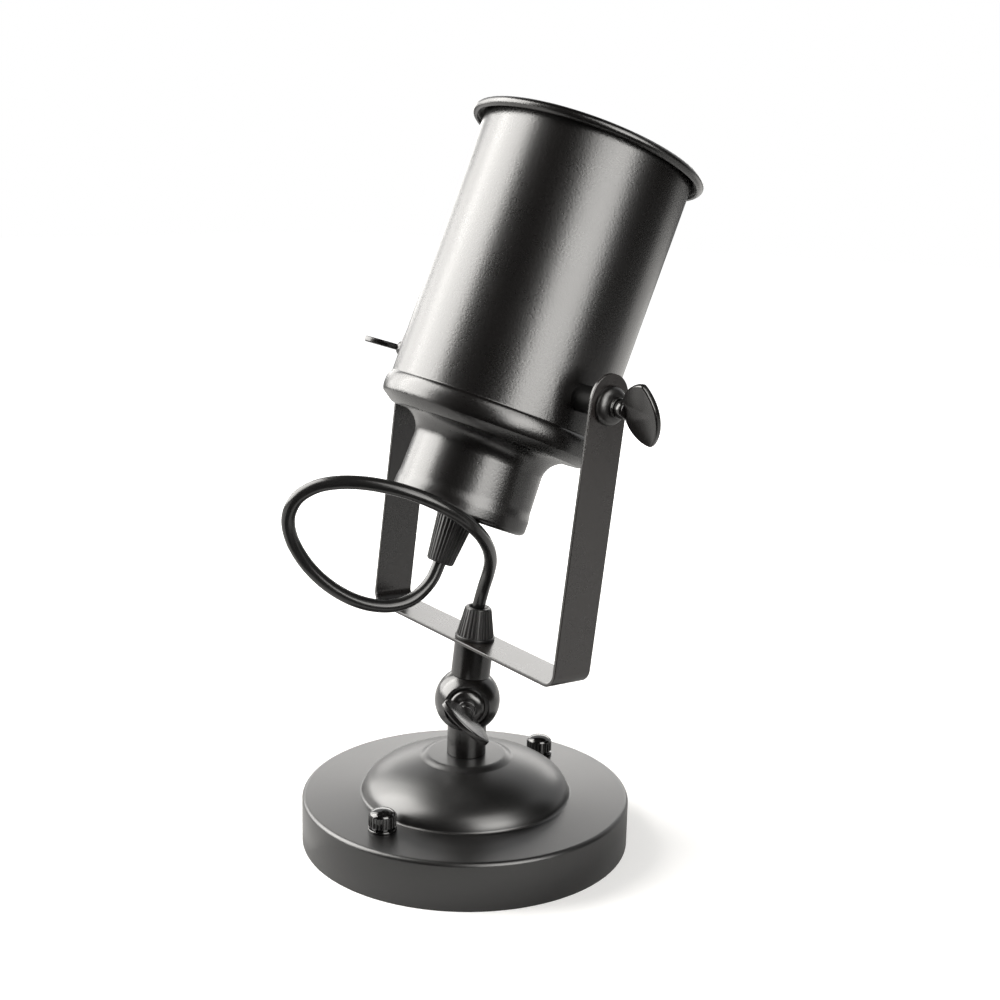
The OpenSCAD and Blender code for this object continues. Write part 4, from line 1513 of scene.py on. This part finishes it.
@dataclass
class Studio:
    """The white floor and world, the softboxes, the cards and the camera."""

    film: float = 36.0
    focal: float = 52.16
    clip: float = 0.01
    eye: Triple = (0.31619, -0.38811, 0.23917)
    azimuth: float = 38.0
    pitch: float = 12.582
    roll: float = 1.35
    floor_size: float = 8.0
    floor_grey: float = 0.5
    floor_seen: float = 0.86
    near_glow: float = 0.2
    far_glow: float = 0.98
    glow_rise: float = 2.2
    glow_start: float = 0.25
    world_fill: float = 0.18
    world_shine: float = 0.7
    card_z: float = 0.001

    def camera(self) -> None:
        """Places the camera where the photograph was taken."""
        a, p, r = (math.radians(v) for v in (self.azimuth, self.pitch, self.roll))
        ahead = Vector((-math.sin(a) * math.cos(p), math.cos(a) * math.cos(p), -math.sin(p)))
        right = Vector((math.cos(a), math.sin(a), 0))
        up = right.cross(ahead)
        side = math.cos(r) * right + math.sin(r) * up
        top = math.cos(r) * up - math.sin(r) * right
        data = bpy.data.cameras.new("camera")
        data.sensor_width, data.lens, data.clip_start = self.film, self.focal, self.clip
        cam = add("camera", data)
        rows = [(side[i], top[i], -ahead[i], self.eye[i]) for i in range(3)]
        cam.matrix_world = Matrix((*rows, (0, 0, 0, 1)))
        bpy.context.scene.camera = cam

    def world(self) -> None:
        """White where it is seen, a little less in reflections, and a soft fill for everything else."""
        world = bpy.data.worlds.new("studio_world")
        bpy.context.scene.world = world
        world.use_nodes = True
        tree = Tree(world.node_tree)
        level: Sock | float = self.world_fill
        for ray, strength in (("Is Glossy Ray", self.world_shine), ("Is Camera Ray", 1.0)):
            seen = tree.node("ShaderNodeLightPath", {}, {}, ray)
            level = tree.node("ShaderNodeMapRange", {}, {"Value": seen, "To Min": level, "To Max": strength})
        white = {"Color": (1.0, 1.0, 1.0, 1.0), "Strength": level}
        tree.end("ShaderNodeOutputWorld", tree.node("ShaderNodeBackground", {}, white))

    def floor(self) -> None:
        """A white floor that keeps the lamp's shadow and glows more with distance."""
        half = self.floor_size / 2
        sh = Shader("floor_paper")
        sight = sh.node("ShaderNodeLightPath", {}, {}, "Is Camera Ray")
        grey = sh.mix(sight, (self.floor_grey,) * 3, (self.floor_seen,) * 3)
        sh.set(Base_Color=grey, Roughness=0.9, Specular_IOR_Level=0.0)
        away = sh.node("ShaderNodeVectorMath", {"operation": "LENGTH"}, {0: sh.place()}, "Value")
        spread = (away * self.glow_rise - self.glow_start).limited()
        glow = sh.mix(spread, (self.near_glow,) * 3, (self.far_glow,) * 3)
        sh.set(Emission_Color=sh.mix(sight, (0.0,) * 3, glow), Emission_Strength=1.0)
        corners = [(-half, -half, 0), (half, -half, 0), (half, half, 0), (-half, half, 0)]
        staged("floor", corners, [(0, 1, 2, 3)], sh)

    def build(self) -> None:
        """Sets up the whole studio."""
        bpy.context.scene.view_settings.view_transform = "Standard"
        self.camera()
        self.world()
        self.floor()
        low = self.card_z
        for piece in (
            Softbox("left_softbox", (-0.509, -0.368, 0.523), (0.041, 0.032, 0.273), (0.56, 0.78), 10.7),
            Softbox("side_softbox", (-0.641, -0.021, 0.476), (0.038, 0.01, 0.256), (0.37, 0.78), 4.1),
            Softbox("right_softbox", (0.66, -0.215, 0.26), (0.01, 0.01, 0.17), (0.48, 0.36), 3.3),
            Softbox("high_softbox", (0.514, -0.167, 0.55), (0.0, 0.0, 0.03), (0.48, 0.36), 2.0),
            Softbox("back_softbox", (-0.66, 0.86, 0.34), (0.0, 0.0, 0.1), (1.3, 0.28), 3.9),
            Card("front_card", -126.0, -40.0, (1.3, 0.0), (1.3, 1.6)),
            Card("right_card", 6.0, 60.0, (1.3, 0.0), (1.3, 1.4)),
            Card("floor_card", -112.0, 8.0, (0.13, low), (1.3, low)),
            Card("left_bounce", 150.0, 238.0, (0.062, low), (0.95, low), 1.1),
            Card("rear_bounce", 62.0, 112.0, (0.4, low), (1.4, low), 1.3),
            Card("top_card", 0.0, 360.0, (0.001, 1.25), (1.1, 1.25)),
        ):
            piece.build()


def main() -> None:
    """Builds the studio and the lamp, piece by piece."""
    logging.basicConfig(level=logging.INFO)
    Studio().build()
    CordLoop().build()
    canopy, yoke = Canopy(), Yoke()
    canopy.build()
    Swivel().build(canopy.disc_z)
    yoke.build()
    Shade().build()
    for name, body, side, turn, slack in (
        ("left", Body.LEFT_SCREW, -1, 12.0, 2.0), ("right", Body.RIGHT_SCREW, 1, -68.0, 0.0)
    ):
        seat = POSE.along_x(POSE.pivot(), yoke.width / 2 + slack, side)
        screw = ThumbScrew(turn=turn).screw(f"{name}_wing_screw", seat)
        dress(screw, Finish.LACQUER, body, [f"{name}_thumb_screw"])
    HiddenParts().build()
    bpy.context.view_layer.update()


if __name__ == "__main__":
    main()
